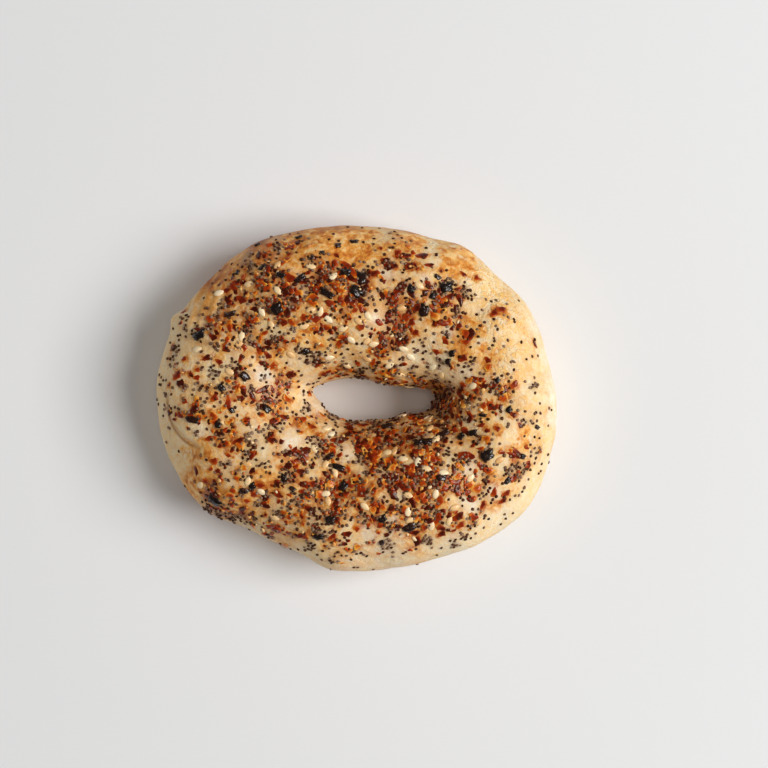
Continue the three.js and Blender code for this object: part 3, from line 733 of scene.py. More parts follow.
# Where poppy seeds lie shoulder to shoulder: (x, y, reach), millimetres.
POPPY_GROUPS = [
    (-24.4, 44.9, 2), (-31.7, 39.5, 2.2), (-29.9, 36.4, 2), (-13.5, 40.7, 2.2), (-16, 36.4, 2),
    (-9.3, 37.6, 2), (-23.2, 33.4, 2), (-20.2, 28.5, 2.4), (-25.6, 27.9, 2.4), (-39.6, 27.3, 2),
    (-44.4, 21.3, 2), (-31.7, 25.5, 1.8), (-33.5, 19.5, 2.4), (-25.6, 21.3, 1.8), (-23.2, 18.2, 2),
    (-30.5, 16.4, 2.4), (-18.4, 19.5, 1.6), (-15.9, 14.6, 2.2), (-10.5, 12.2, 2.2), (-6.2, 27.3, 2),
    (-3.8, 10.4, 1.6), (-36.5, 9.8, 2.4), (-43.2, 7.9, 2.4), (-42, 15.2, 1.6), (-28, 6.1, 1.6),
    (-54.7, 15.2, 1.2), (-51.7, 24.9, 1.2), (-51.7, 3.7, 1.6), (10.3, 41, 2.2), (14.2, 41.7, 1.8),
    (1.9, 36.5, 2.4), (0, 32, 2), (3.8, 31, 1.8), (13.5, 33.3, 2), (17.4, 32.7, 1.8), (27.7, 34, 2.6),
    (33.4, 31.6, 2.8), (23.9, 31.4, 1.8), (20.6, 26.9, 2), (10.9, 25.6, 1.8), (13.5, 19.1, 2.8),
    (31, 25.6, 1.8), (27.1, 19.1, 1.6), (17.6, 16.6, 1.8), (7.7, 15.2, 2.6), (5.6, 9.5, 1.4),
    (0.6, 6.8, 1.8), (12.2, 9.4, 2), (25.8, 10.7, 1.8), (34.2, 11.3, 2), (29, 2.9, 2),
    (52.6, -7.4, 1.2), (48, -20, 1.7), (49.5, -24, 1.7), (-12, 12, 2), (-46.5, -3.5, 1.4),
    (51, -21, 1.6), (18, -24.5, 3), (24, -24, 3), (34, 32, 2), (25.1, -0.3, 2.4), (43.2, 2.3, 2.2),
    (53.6, 3.6, 1.6), (-48.7, -11.5, 1.4), (-41.4, -7.9, 1.6), (-40.8, -11.5, 1.6), (-32.3, -12.1, 2),
    (-28, -10.3, 2), (-31.7, -15.8, 2), (-33, -18, 2), (-27.5, -20.6, 2.2), (-39, -19.4, 1.6),
    (-23.2, -7.3, 1.8), (-14.7, -3, 1.8), (-6.8, -4.8, 1.8), (-10.5, -13.9, 2.2), (-4.4, -12, 1.8),
    (-20.2, -23.6, 2.6), (-18.4, -29.7, 2), (-13.5, -29, 2), (-11.7, -34, 1.8), (-4.4, -34, 2.4),
    (-11, -40.6, 2.6), (-7.5, -36.4, 2.4), (-28, -31.5, 2), (-23.2, -34.5, 2), (-34, -28.5, 1.8),
    (-33.5, -36.4, 1.4), (-37, -36, 1.6), (-41, -35, 1.6), (-44.6, -33.3, 1.6), (-13.5, -44.8, 1.6),
    (1.9, -17.5, 2.4), (10.9, -23.9, 2.4), (9, -20.7, 2), (1.2, -25.9, 2), (16.7, -25.9, 2.6),
    (13.5, -32.3, 2.6), (17.4, -36.8, 2.4), (14.8, -29.7, 1.8), (23.2, -33, 2.4), (20, -14.2, 2.4),
    (27.1, -9.7, 2.2), (32.9, -7.1, 2), (36.1, -11.6, 2), (39.4, -16.8, 2.2), (39.2, -21.4, 1.6),
    (45.8, -23.3, 1.6), (32.9, -18.7, 2), (29, -16.8, 1.8), (9.6, -43.3, 2), (21.3, -42.7, 1.8),
    (29, -44, 1.8), (10.9, -38.8, 2.2), (1.9, -36.2, 2), (32.9, -41.4, 1.6), (35.5, -38.1, 1.6),
    (51, -7.1, 1.2), (54.9, -15.5, 1.6), (-0.7, -6.5, 2), (5.1, -8.4, 2), (26.4, -3.9, 2),
    (22.6, -1.9, 2.2), (38, -29.5, 1.6), (-14, 11.4, 1.6), (-26.5, 2.2, 1.8), (-8.2, 39, 1.8),
    (17.5, 15, 1.5), (-27.3, 10.5, 1.8),
]
# Poppy seeds that lie alone on the rims: (x, y), millimetres.
LOOSE_POPPIES = [
    (-55, 21), (-51, 23.5), (-51.3, 22), (-51.6, 21), (-51.2, 18.6), (-54, 13), (-55, 12.6),
    (-56, 10.1), (-58.6, 6.3), (-58, 5.4), (-57.2, 5.4), (-59.8, -0.4), (-59.4, -1.8),
    (-57.6, 1.5), (-55.6, -3), (-58, -5.3), (-56.5, -8.8), (-53.3, -16), (-51.4, -26.5),
    (-45, -18.6), (-53.2, -3.4), (-51.6, -4.2), (-37.3, 40.5), (-46, 25.3), (-40.8, 38.5),
    (-2.3, 51.6), (2, 51.4), (7.2, 51.2), (11.8, 50.2), (12.8, 49.3), (24.5, 43.5),
    (33, 35), (39.4, 29.8), (41, 29.2), (42.4, 29.6), (45.7, 28.4), (49.2, 29.4), (46, 24.5),
    (47.8, 23.8), (48, 23), (42.4, 21.8), (42.9, 20.8), (46, 17.5), (44.8, 15.7), (41.4, 16),
    (47, 11), (47.8, 8.6), (53.3, 12.6), (55, 12.8), (44.2, 6.8), (42, 7.3), (54, 6.2),
    (53.6, 4), (54.6, 3.5), (52.6, 3.2), (54.2, 1.6), (58.4, -3), (54.5, -4.3), (51.2, -4),
    (48.9, -6.6), (50.7, -6.5), (54.8, -6.8), (53.2, -7.2), (52.8, -14), (55.7, -15.6),
    (59.2, -19.6), (54, -19.6), (53, -16.2), (50.3, -28.2), (48.2, -29.4), (49.3, -29.3),
    (46.6, -30.6), (45, -35), (40.2, -36.4), (38.8, -36.2), (38.7, -39), (34.8, -42.2),
    (36.2, -40.8), (29, -45), (29.8, -44.4), (22, -43.8), (11.3, -47.8), (14.4, -46.8),
    (-2.7, -47.5), (-11.5, -47.2), (-6.7, -49.4), (-5.2, -49.2), (-0.5, -51), (0.7, -51),
    (5.4, -51.6), (-36, -48), (18.6, -50),
]
LOOSE_POPPY_SIZE = (1.1, 1.0, 0.95)  # millimetres
off_rim = 1 - smooth(across, RIM_CLEAR, 1)
off_sides = smooth(up, STEEP_BARE, STEEP_FULL)


def crowding(most, clumps, seed, apart):
    """How thick a topping lies at each point of the dough, 1 where it is packed."""
    thick = np.minimum(SPARSE * (1 - bare) + heaped, HEAPED_MOST) * (1 - FLOUR_BARES * flour)
    clumped = np.clip(1 + clumps * waves(skin, apart, seed), 0.05, 3)
    return most * thick * clumped * off_rim * off_sides


def clear_of(marks, reach):
    """0 where something was laid by hand, 1 away from it, reach in millimetres."""
    nearest = np.full(len(skin), 1000.0)
    for x, y, *_ in marks:
        nearest = np.minimum(nearest, np.hypot(seen_x - x, seen_y - y))
    return smooth(nearest, 0.5 * reach, 1.2 * reach)


def laying_tree():
    """Lays small things on a skin: spread at random and marked one by one, then made real."""
    tree = bpy.data.node_groups.new("laying", "GeometryNodeTree")
    tree.interface.new_socket("Geometry", in_out="OUTPUT", socket_type="NodeSocketGeometry")
    sockets = [
        ("Skin", "NodeSocketGeometry"),
        ("Thickness", "NodeSocketString"),
        ("Most", "NodeSocketFloat"),
        ("Gap", "NodeSocketFloat"),
        ("Seed", "NodeSocketInt"),
        ("Small", "NodeSocketVector"),
        ("Large", "NodeSocketVector"),
        ("Rare", "NodeSocketFloat"),
        ("Tilt", "NodeSocketFloat"),
        ("Sunk", "NodeSocketFloat"),
        ("Shapes", "NodeSocketCollection"),
        ("Kinds", "NodeSocketInt"),
        ("Marked", "NodeSocketObject"),
        ("Finish", "NodeSocketMaterial"),
    ]
    for name, kind in sockets:
        tree.interface.new_socket(name, in_out="INPUT", socket_type=kind)
    given = tree.nodes.new("NodeGroupInput").outputs

    def node(kind, settings, values, result=0):
        made = tree.nodes.new(kind)
        for name, value in settings.items():
            setattr(made, name, value)
        for key, value in values.items():
            socket = found(made.inputs, key)
            if isinstance(value, bpy.types.NodeSocket):
                tree.links.new(value, socket)
            else:
                socket.default_value = value
        return found(made.outputs, result)

    def named(kind, name):
        return node("GeometryNodeInputNamedAttribute", {"data_type": kind}, {"Name": name}, "Attribute")

    def keep(geometry, kind, name, value):
        settings = {"data_type": kind, "domain": "POINT"}
        values = {"Geometry": geometry, "Name": name, "Value": value}
        return node("GeometryNodeStoreNamedAttribute", settings, values)

    def drawn(kind, low, high, seed):
        values = {"Min": low, "Max": high, "Seed": seed}
        return node("FunctionNodeRandomValue", {"data_type": kind}, values, "Value")

    # Points at random, thick or thin as the skin was painted, no nearer than the gap.
    scatter = tree.nodes.new("GeometryNodeDistributePointsOnFaces")
    scatter.distribute_method = "POISSON"
    tree.links.new(given["Skin"], scatter.inputs["Mesh"])
    tree.links.new(given["Gap"], scatter.inputs["Distance Min"])
    tree.links.new(given["Most"], scatter.inputs["Density Max"])
    tree.links.new(named("FLOAT", given["Thickness"]), scatter.inputs["Density Factor"])
    tree.links.new(given["Seed"], scatter.inputs["Seed"])

    # Each lies on the skin, turned any way round and tilted a little.
    tilt = given["Tilt"]
    down = node("ShaderNodeMath", {"operation": "MULTIPLY"}, {0: tilt, 1: -1.0})
    low = node("ShaderNodeCombineXYZ", {}, {"X": down, "Y": down, "Z": 0.0})
    high = node("ShaderNodeCombineXYZ", {}, {"X": tilt, "Y": tilt, "Z": 2 * math.pi})
    spin = node("FunctionNodeEulerToRotation", {}, {0: drawn("FLOAT_VECTOR", low, high, seed=11)})
    turns = {0: scatter.outputs["Rotation"], 1: spin}
    turned = node("FunctionNodeRotateRotation", {"rotation_space": "LOCAL"}, turns)
    spots = keep(scatter.outputs["Points"], "QUATERNION", "aim", turned)

    # Its size lies between the two given, the large ones as rare as asked.
    chance = {0: drawn("FLOAT", 0.0, 1.0, seed=12), 1: given["Rare"]}
    share = node("ShaderNodeMath", {"operation": "POWER"}, chance)
    ends = {"Factor_Float": share, "A_Vector": given["Small"], "B_Vector": given["Large"]}
    size = node("ShaderNodeMix", {"data_type": "VECTOR"}, ends, "Result_Vector")
    uneven = drawn("FLOAT_VECTOR", Vector((0.8, 0.8, 0.8)), Vector((1.2, 1.2, 1.2)), seed=15)
    size = node("ShaderNodeVectorMath", {"operation": "MULTIPLY"}, {0: size, 1: uneven})
    spots = keep(spots, "FLOAT_VECTOR", "grow", size)
    spots = keep(spots, "FLOAT", "tone", drawn("FLOAT", 0.0, 1.0, seed=13))

    # The marked ones bring their own way round, size and tone.
    info = node("GeometryNodeObjectInfo", {}, {"Object": given["Marked"]}, "Geometry")
    marked = node("GeometryNodeMeshToPoints", {}, {0: info})
    faced = node("FunctionNodeEulerToRotation", {}, {0: named("FLOAT_VECTOR", "facing")})
    marked = keep(marked, "QUATERNION", "aim", faced)
    join = tree.nodes.new("GeometryNodeJoinGeometry")
    tree.links.new(marked, join.inputs[0])
    tree.links.new(spots, join.inputs[0])

    # One of the shapes goes on each point, sunk into the skin, and all are made real.
    shapes = {"Collection": given["Shapes"], "Separate Children": True, "Reset Children": True}
    shape = node("GeometryNodeCollectionInfo", {}, shapes)
    last = node("ShaderNodeMath", {"operation": "SUBTRACT"}, {0: given["Kinds"], 1: 1.0})
    which = drawn("INT", 0, last, seed=14)
    laid = node("GeometryNodeInstanceOnPoints", {}, {
        "Points": join.outputs[0],
        "Instance": shape,
        "Pick Instance": True,
        "Instance Index": which,
        "Rotation": named("QUATERNION", "aim"),
        "Scale": named("FLOAT_VECTOR", "grow"),
    })
    sink = node("ShaderNodeMath", {"operation": "MULTIPLY"}, {0: given["Sunk"], 1: -1.0})
    shift = node("ShaderNodeCombineXYZ", {}, {"Z": sink})
    moved = {"Instances": laid, "Translation": shift, "Local Space": True}
    laid = node("GeometryNodeTranslateInstances", {}, moved)
    real = node("GeometryNodeRealizeInstances", {}, {0: laid})
    done = node("GeometryNodeSetMaterial", {}, {"Geometry": real, "Material": given["Finish"]})
    tree.links.new(done, tree.nodes.new("NodeGroupOutput").inputs[0])
    return tree


LAYING = laying_tree()
dough_tree = BVHTree.FromPolygons(skin.tolist(), [list(f.vertices) for f in dough.data.polygons])


def marked_spots(marks):
    """Points laid one by one: (x, y, way it points, (length, width, height), tone)."""
    places, facings, sizes, tones = [], [], [], []
    for x, y, turn, size, tone in marks:
        level = Vector((x * MM, y * MM, EQUATOR_LEVEL))
        spot, normal, _, _ = dough_tree.ray_cast(EYE, (level - EYE).normalized())
        if spot is None or spot.z < EQUATOR_LEVEL:
            spot, normal, _, _ = dough_tree.find_nearest(level + Vector((0, 0, 2 * MM)))
        heading = Vector((math.cos(math.radians(turn)), math.sin(math.radians(turn)), 0))
        heading = (heading - normal * heading.dot(normal)).normalized()
        axes = Matrix((heading, normal.cross(heading), normal)).transposed()
        places.append(spot)
        facings.append(axes.to_euler())
        sizes.append(Vector(size) * MM)
        tones.append(tone)
    mesh = bpy.data.meshes.new("marked")
    mesh.from_pydata(places, [], [])
    for name, values in (("facing", facings), ("grow", sizes)):
        layer = mesh.attributes.new(name, "FLOAT_VECTOR", "POINT")
        layer.data.foreach_set("vector", np.array(values, dtype=np.float32).ravel())
    points = bpy.data.objects.new("marked", mesh)
    bpy.context.scene.collection.objects.link(points)
    paint(points, "tone", tones)
    return points


def lay(name, shapes, finish, values, marks):
    """Runs the laying tree on the dough and gives what it laid as a piece of its own."""
    points = marked_spots(marks)
    modifier = dough.modifiers.new(name, "NODES")
    modifier.node_group = LAYING
    known = {s.name: s.identifier for s in LAYING.interface.items_tree if s.in_out == "INPUT"}
    given = {
        "Thickness": name,
        "Shapes": shapes,
        "Kinds": len(shapes.objects),
        "Marked": points,
        "Finish": finish,
    }
    for key, value in {**values, **given}.items():
        modifier[known[key]] = value
    graph = bpy.context.evaluated_depsgraph_get()
    covered = dough.evaluated_get(graph)
    mesh = bpy.data.meshes.new_from_object(covered, preserve_all_data_layers=True, depsgraph=graph)
    dough.modifiers.remove(modifier)
    bpy.data.objects.remove(points)
    mesh.name = name
    mesh.shade_smooth()
    piece = bpy.data.objects.new(name, mesh)
    bpy.context.scene.collection.objects.link(piece)
    for shape in list(shapes.objects):
        bpy.data.objects.remove(shape)
    bpy.data.collections.remove(shapes)
    return piece


def shape_set(name, count, build):
    """A collection of shapes for laying, each one unit long, built by its number."""
    shapes = bpy.data.collections.new(name)
    bpy.context.scene.collection.children.link(shapes)
    for number in range(count):
        form = bmesh.new()
        build(form, number)
        bmesh.ops.recalc_face_normals(form, faces=form.faces)
        mesh = bpy.data.meshes.new(name)
        form.to_mesh(mesh)
        form.free()
        shapes.objects.link(bpy.data.objects.new(f"{name}_{number}", mesh))
    return shapes


def ride_along(piece):
    """The piece moves with the bagel."""
    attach(piece, "root")


def poppy_shape(form, number):
    """A small bean, fuller in some shapes than in others, its top marked to be painted lighter as painted
    light.
    """
    bmesh.ops.create_uvsphere(form, u_segments=8, v_segments=4, radius=0.5)
    worn = form.verts.layers.float.new("worn")
    for point in form.verts:
        x, y, z = point.co
        point[worn] = max(z, 0) * 2
        bent = y + 0.35 * x * x
        point.co = Vector((x, bent * (0.82 + 0.05 * number), z * 0.8))


def poppy_finish():
    """Slate-grey skin with a fine net of ridges, some seeds bluer and some near black, the tops painted
    lighter as painted light.
    """
    poppy = Finish("poppy seed")
    # Lighter on each seed's top: painted light.
    tone = poppy.painted("tone") * (0.5 + poppy.painted("worn") * 0.4)
    net = poppy.grain(0.16 * MM, detail=1.0)
    poppy.fill(poppy.shader, {
        "Base Color": poppy.ramp(POPPY_COLOURS, tone),
        "Roughness": 0.32 - tone * 0.06,
        "Specular IOR Level": 0.15,
        "Specular Tint": (1.0, 0.6, 0.36, 1.0),
        "Normal": poppy.bump(net, 0.05 * MM, 0.6),
    })
    return poppy.material


poppy_marks = [
    (x, y, 37 * i, LOOSE_POPPY_SIZE, (0.37 * i) % 1)
    for i, (x, y) in enumerate(LOOSE_POPPIES)
]
poppy_groups = np.zeros(len(skin))
for x, y, reach in POPPY_GROUPS:
    away = np.hypot(seen_x - x, seen_y - y) / reach
    poppy_groups = np.maximum(poppy_groups, 1 - smooth(away, 0.35, 1.3))
poppy_groups *= smooth(up, 0.38, 0.5)
peppered = PEPPERED * (1 - clear) * (1 - 0.7 * flour) * off_rim * off_sides
poppies = crowding(most=0.222, clumps=1.6, seed=21, apart=3.6 * MM) + 0.8 * poppy_groups + peppered
paint(dough, "poppy_seeds", np.clip(poppies, 0, 1))
poppy_seeds = lay(
    "poppy_seeds",
    shape_set("poppy", count=4, build=poppy_shape),
    poppy_finish(),
    {
        "Most": 2200000.0,
        "Gap": 0.74 * MM,
        "Seed": 3,
        "Small": Vector((1, 1, 1)) * POPPY_LENGTH * 0.9,
        "Large": Vector((1, 1, 1)) * POPPY_LENGTH * 1.1,
        "Rare": 1.0,
        "Tilt": 0.5,
        "Sunk": -0.04 * MM,
    },
    poppy_marks,
)
ride_along(poppy_seeds)

# Their broken skins leave a grey-brown dust where they lie crowded, and the dough between
# them is darkened there with painted shade.
DUST_AND_SHADE_REACH = 1.6 * MM
DUST_AND_SHADE_THICK = 8  # seeds within reach where the dust and painted shade are thickest
CROWN_FROM = 12 * MM  # no dust, painted shade or heap darkening below this height


def tree_of(points):
    """A tree that finds which of these points are near a place."""
    tree = KDTree(len(points))
    for number, point in enumerate(points):
        tree.insert(Vector(point), number)
    tree.balance()
    return tree


def count_near(tree, reach):
    """How many points of a tree lie within reach of each point of the crown."""
    return np.array([
        len(tree.find_range(Vector(point), reach)) if point[2] > CROWN_FROM else 0
        for point in skin
    ])


poppy_skins = np.array([point.co for point in poppy_seeds.data.vertices])
poppy_middles = poppy_skins.reshape(-1, POPPY_POINTS, 3).mean(axis=1)
dust = count_near(tree_of(poppy_middles), DUST_AND_SHADE_REACH) / DUST_AND_SHADE_THICK
paint(dough, "dust", np.clip(dust, 0, 1) ** 1.5)

# ---------------------------------------------------------------------------------------
# Sesame seeds. Flat cream teardrops, hulled, 3 mm long, most lying flat on the crown and a
# few on edge, a little toasted at their tips.

SESAME_SIZE = Vector((3.1, 1.95, 0.95)) * MM
SESAME_COLOURS = [
    (0.0, (250, 228, 190)),
    (0.5, (244, 208, 154)),
    (0.85, (230, 176, 110)),
    (1.0, (206, 140, 74)),
]
# Seeds laid one by one: (x, y, way it points).
SESAME = [
    (-41.2, 31.8, 15), (-32.3, 34.5, 10), (-47.8, 14.8, 5), (-23.5, 40.3, 60), (-23.5, 32.5, -50),
    (-28.3, 26, -60), (-25.5, 22, -75), (-34.4, 18.8, -100), (-35, 16.5, 30), (-13.5, 39.8, -10),
    (-6.7, 36.8, 45), (-13.5, 26.7, 15), (-10.6, 26.2, 75), (-8.2, 23.8, -40), (-15.5, 21.7, 15),
    (3.8, 24.8, -55), (1, 23.2, -35), (-3.8, 21, 20), (-1.3, 17.5, -50), (3.4, 17.3, 60),
    (5.5, 16.3, 10), (14, 27.2, 10), (19.3, 34, -30), (14.5, 14.8, -15), (-19.5, 13, -45),
    (16.2, 3.3, -15), (23.2, 9.3, 45), (25.8, 6.8, 60), (35.5, 3.8, 35), (-32.8, -19.7, -20),
    (-32.5, -25, 70), (-28.3, -28.3, -30), (-24.5, -36, -20), (-8.5, -9, 30), (-7, -10.7, 30),
    (-6.2, -22.5, -70), (-8.8, -28.8, 10), (-8.3, -31, -80), (2.8, -32.7, -40), (15.8, -34.3, 85),
    (16.5, -36.8, 25), (14.3, -18.2, -10), (11.8, -15.8, 80), (9.8, -16.3, 0), (14, -5.3, -20),
    (-9, -19.8, 60), (-12.3, -15.3, -50), (18.8, -19, 75), (15.8, -29.2, -20), (22, -5.8, 40),
    (22.5, -9, 70), (21.5, -21.3, -15), (24.2, -28.8, 80), (30, -33, 15), (34.8, -24, 45),
    (43.5, -18.7, 30), (28.3, -37, 75), (23, -38.5, 80), (37.3, -37.3, 60), (24.5, -12.2, 60),
    (26.6, -22.5, 0), (-38, 8, -30), (10.3, 9.8, 35), (3.5, 11.8, -35), (-2.5, 9.7, -60),
    (-7.8, 12.2, 0), (13.5, 7, -20), (-46.8, -26.2, 50), (16.6, 12.4, -40),
]


def sesame_shape(form, number):
    """A flat teardrop, bent a little more in each shape, narrow at the end it points with."""
    bmesh.ops.create_uvsphere(form, u_segments=12, v_segments=8, radius=0.5)
    bmesh.ops.rotate(form, verts=form.verts, matrix=Matrix.Rotation(math.pi / 2, 3, "Y"))
    for point in form.verts:
        x, y, z = point.co
        narrow = 1 - 0.95 * max(x, 0) ** 1.3 - 0.12 * max(-x, 0)
        point.co = Vector((x, (y + 0.05 * number * x * x) * narrow, z * (1 - 0.5 * max(x, 0))))


def sesame_finish():
    """Cream skin, faintly streaked along the seed, deeper at some tips."""
    sesame = Finish("sesame seed")
    mottle = sesame.grain(0.7 * MM, detail=2.0)
    toasted = sesame.painted("tone") * 0.8 + (mottle - 0.4) * 0.5
    sesame.fill(sesame.shader, {
        "Base Color": sesame.ramp(SESAME_COLOURS, toasted),
        "Roughness": 0.42 - (mottle - 0.5) * 0.2,
        "Coat Weight": 0.15,
        "Subsurface Weight": 0.25,
        "Subsurface Radius": (1.0, 0.7, 0.4),
        "Subsurface Scale": 0.5 * MM,
        "Normal": sesame.bump(mottle, 0.05 * MM, 0.5),
    })
    return sesame.material


sesame_marks = [
    (x, y, turn, SESAME_SIZE / MM, (0.618 * i) % 1)
    for i, (x, y, turn) in enumerate(SESAME)
]
paint(dough, "sesame_seeds", crowding(most=0.8, clumps=0.6, seed=31, apart=9 * MM))
sesame_seeds = lay(
    "sesame_seeds",
    shape_set("sesame", count=4, build=sesame_shape),
    sesame_finish(),
    {
        "Most": 500.0,
        "Gap": 3.2 * MM,
        "Seed": 8,
        "Small": SESAME_SIZE * 0.82,
        "Large": SESAME_SIZE * 1.1,
        "Rare": 1.0,
        "Tilt": 0.35,
        "Sunk": -0.3 * MM,
    },
    sesame_marks,
)
ride_along(sesame_seeds)

# ---------------------------------------------------------------------------------------
# Onion flakes. Dried onion, cut small: thin curled chips that baked from amber through
# red-brown to nearly black, glassy with their own sugar.

ONION_SMALL = Vector((1.3, 1.1, 0.9)) * MM
ONION_LARGE = Vector((3.8, 2.9, 1.9)) * MM
ONION_COLOURS = [
    (0.0, (230, 168, 80)),
    (0.17, (218, 130, 36)),
    (0.36, (188, 76, 15)),
    (0.55, (154, 49, 9)),
    (0.78, (120, 31, 7)),
    (1.0, (66, 15, 4)),
]
# Flakes laid one by one: (x, y, way it points, length, width, tone), millimetres.
ONION = [
    (-36.5, 21.5, 0, 2.8, 2, 0.75), (-34.5, 29.8, -20, 4.2, 2.4, 0.6), (-20, 36.5, -20, 4.6, 2.4, 0.55),
    (-19, 27, 40, 2.6, 2, 0.6), (-22, 23, -10, 3.6, 2, 0.6), (-12.5, 24, 5, 4.6, 2.2, 0.5),
    (-2.5, 29.5, 70, 3.8, 2.5, 0.78), (-3.2, 40.2, -30, 4.4, 3, 0.45), (13.2, 33, 60, 5.2, 2.8, 0.7),
    (9.8, 24, -50, 3.4, 2, 0.65), (8, 18.2, -60, 4, 2.2, 0.6), (20, 43, 30, 4.4, 2.6, 0.72),
    (22.3, 40.2, 20, 3.2, 1.5, 0.66), (41.8, 25.6, 70, 3.2, 1.8, 0.58), (43.9, 26.9, 30, 3.4, 2, 0.6),
    (34.8, 19.2, 85, 4.2, 2.4, 0.85), (33, 17, 10, 3.4, 1.5, 0.4), (36.5, 36.2, 70, 2.4, 1.6, 0.4),
    (39.8, 11.6, -30, 2.6, 1.6, 0.6), (32.4, 12, 60, 3, 2.4, 0.62), (24.3, 14, 0, 2.6, 1.8, 0.45),
    (-53.9, 6.8, 50, 4, 2.2, 0.52), (-51.8, 11.8, 60, 2, 1.6, 0.42), (-47.8, 8.5, 40, 1.8, 1.5, 0.35),
    (-55.3, 15.2, -50, 2.4, 1.8, 0.6), (-52, 26, 20, 1.9, 1.2, 0.62), (-41.2, 11, -10, 2.6, 1.6, 0.55),
    (-34.6, 12, 85, 3, 1.4, 0.6), (-42.6, 0, 60, 3, 2, 0.45), (-38.4, -1.6, -80, 5.4, 2, 0.5),
    (-34.6, 0, 0, 2.6, 2, 0.68), (-49.8, -4.8, 50, 2.6, 1.6, 0.5), (-51.6, -1, 60, 2, 1.8, 0.45),
    (-44.6, -12.2, 20, 3.6, 1.6, 0.35), (-41.6, -22, 40, 2, 1.6, 0.62),
    (-35.5, -13, 30, 4.2, 1.7, 0.72), (-37.2, -15.6, 80, 2, 1.4, 0.7), (-29, -26.3, 0, 3.4, 1.6, 0.5),
    (-33, -31, 0, 2.6, 1.8, 0.3), (-28, 2.6, 30, 5, 1.8, 0.72), (-20, 6.8, 70, 4.4, 3, 0.7),
    (-20.4, 3.8, 20, 3, 2, 0.5), (-21.4, -5.8, 0, 3.4, 2, 0.68), (-25.4, -12.6, 0, 3.4, 2, 0.7),
    (-13.4, -8.4, -15, 3.8, 1.8, 0.48), (-15.6, -16.2, 30, 5, 3.4, 0.68),
    (-5, -12.6, 10, 6.4, 2.2, 0.7), (6.4, -12.6, -30, 3.2, 2.2, 0.48), (2.2, -8, 10, 4, 2.2, 0.62),
    (-12.8, -26, 30, 2.6, 2.2, 0.6), (-6.4, -22.6, 70, 3.8, 2, 0.16), (-8.3, -31, 80, 3.2, 2.2, 0.22),
    (-6, -31.6, 70, 4, 1.8, 0.7), (1.8, -28, -50, 4.6, 3, 0.5), (-7, -41.8, 60, 3.4, 1.5, 0.55),
    (0.2, -39.4, 0, 2.2, 1.8, 0.3), (-16, -28.2, 20, 2.4, 1.6, 0.55), (25.2, -31.6, 80, 5.4, 1.9, 0.34),
    (24.7, -36.6, 75, 6, 2.4, 0.4), (31, -35.8, 50, 4.4, 2.2, 0.7), (35.6, -35.8, -20, 3.8, 2.2, 0.45),
    (31.6, -38.4, 60, 3.4, 2, 0.42), (38.4, -32.3, 80, 3.4, 1.4, 0.6), (45.4, -28.8, 45, 3.4, 1.8, 0.5),
    (52.2, -20.4, 0, 2, 1.8, 0.52), (49, -16.8, -35, 6, 1.9, 0.75), (40.8, -2.4, -40, 3.6, 2.4, 0.55),
    (42.7, -9.2, 0, 2.2, 1.6, 0.5), (36.4, -27.4, 30, 3.6, 2.4, 0.2), (38, -20.6, -30, 3.6, 2, 0.62),
    (34.8, -17.4, -20, 3, 1.8, 0.6), (30.4, -25.4, 20, 4, 2.4, 0.52), (33.4, -28.4, 0, 3, 2, 0.4),
    (47.8, 4, 60, 3.4, 1.8, 0.5), (41.6, 4, 40, 3, 2, 0.6), (36.3, 2.4, 20, 2.4, 1.8, 0.42),
    (29.2, 2.6, -30, 2.8, 1.8, 0.6), (33, 19.6, 0, 3, 2.8, 0.34), (-12.6, 42.3, 15, 2.8, 1.4, 0.72),
    (52, -20, 60, 2.8, 2, 0.5), (31.2, 21.6, 80, 2.6, 2, 0.6), (27, 17.4, -50, 3.2, 1.6, 0.45),
    (-43, 18.5, -20, 3.2, 1.8, 0.75), (-44.5, 21.8, 0, 2, 1.2, 0.8), (-39.2, 15.2, -60, 3, 2, 0.6),
    (-48, 6.2, 20, 2.6, 1.6, 0.42), (1.5, 29.6, -30, 3.6, 2.2, 0.85), (28.5, 30.6, 30, 3.4, 2, 0.7),
    (16.8, 22.6, 70, 3.4, 2, 0.6), (18, 19.8, 40, 2.6, 1.8, 0.55), (15.2, 17.6, 80, 3.4, 1.6, 0.8),
    (49.8, -8.3, -30, 2, 1.1, 0.85), (26, -41, 60, 3, 2, 0.7), (-2.6, -41, 20, 3.4, 2, 0.7),
    (-8.2, -24.6, 70, 3.4, 2, 0.75), (6.2, -15, -20, 3, 2, 0.7), (47.6, -5, 0, 2.2, 1.6, 0.72),
    (9, 41.6, 20, 3, 2, 0.8), (11.6, 40.2, -30, 2.8, 1.8, 0.75), (-45, 12.2, 40, 3, 1.8, 0.72),
    (-16.5, -22.2, 0, 3.4, 2, 0.75), (44.5, -31, 50, 3, 1.8, 0.65), (17.8, -40.6, 10, 3.4, 1.8, 0.8),
    (-39, 32.6, 0, 3.4, 1.8, 0.6), (32.5, 37.5, -20, 2.6, 1.4, 0.6), (-9.5, 25, 20, 3, 2, 0.6),
    (-26.5, 13, -30, 3, 1.8, 0.65), (-15.5, 35.3, 30, 3.4, 2, 0.75),
    (-42.5, -25.5, -40, 2.4, 1.8, 0.85), (9.8, 39.6, -20, 3.4, 2, 0.9),
    (-13.7, -8.4, -20, 3.2, 2, 0.28), (-10.2, -4.9, -40, 3.2, 1.2, 0.14),
    (-24.8, -2.1, 80, 2.6, 1.5, 0.12), (-16.6, -10.4, 30, 2.2, 1.3, 0.12),
    (-18.6, -23.4, 20, 2.4, 1.4, 0.2),
]
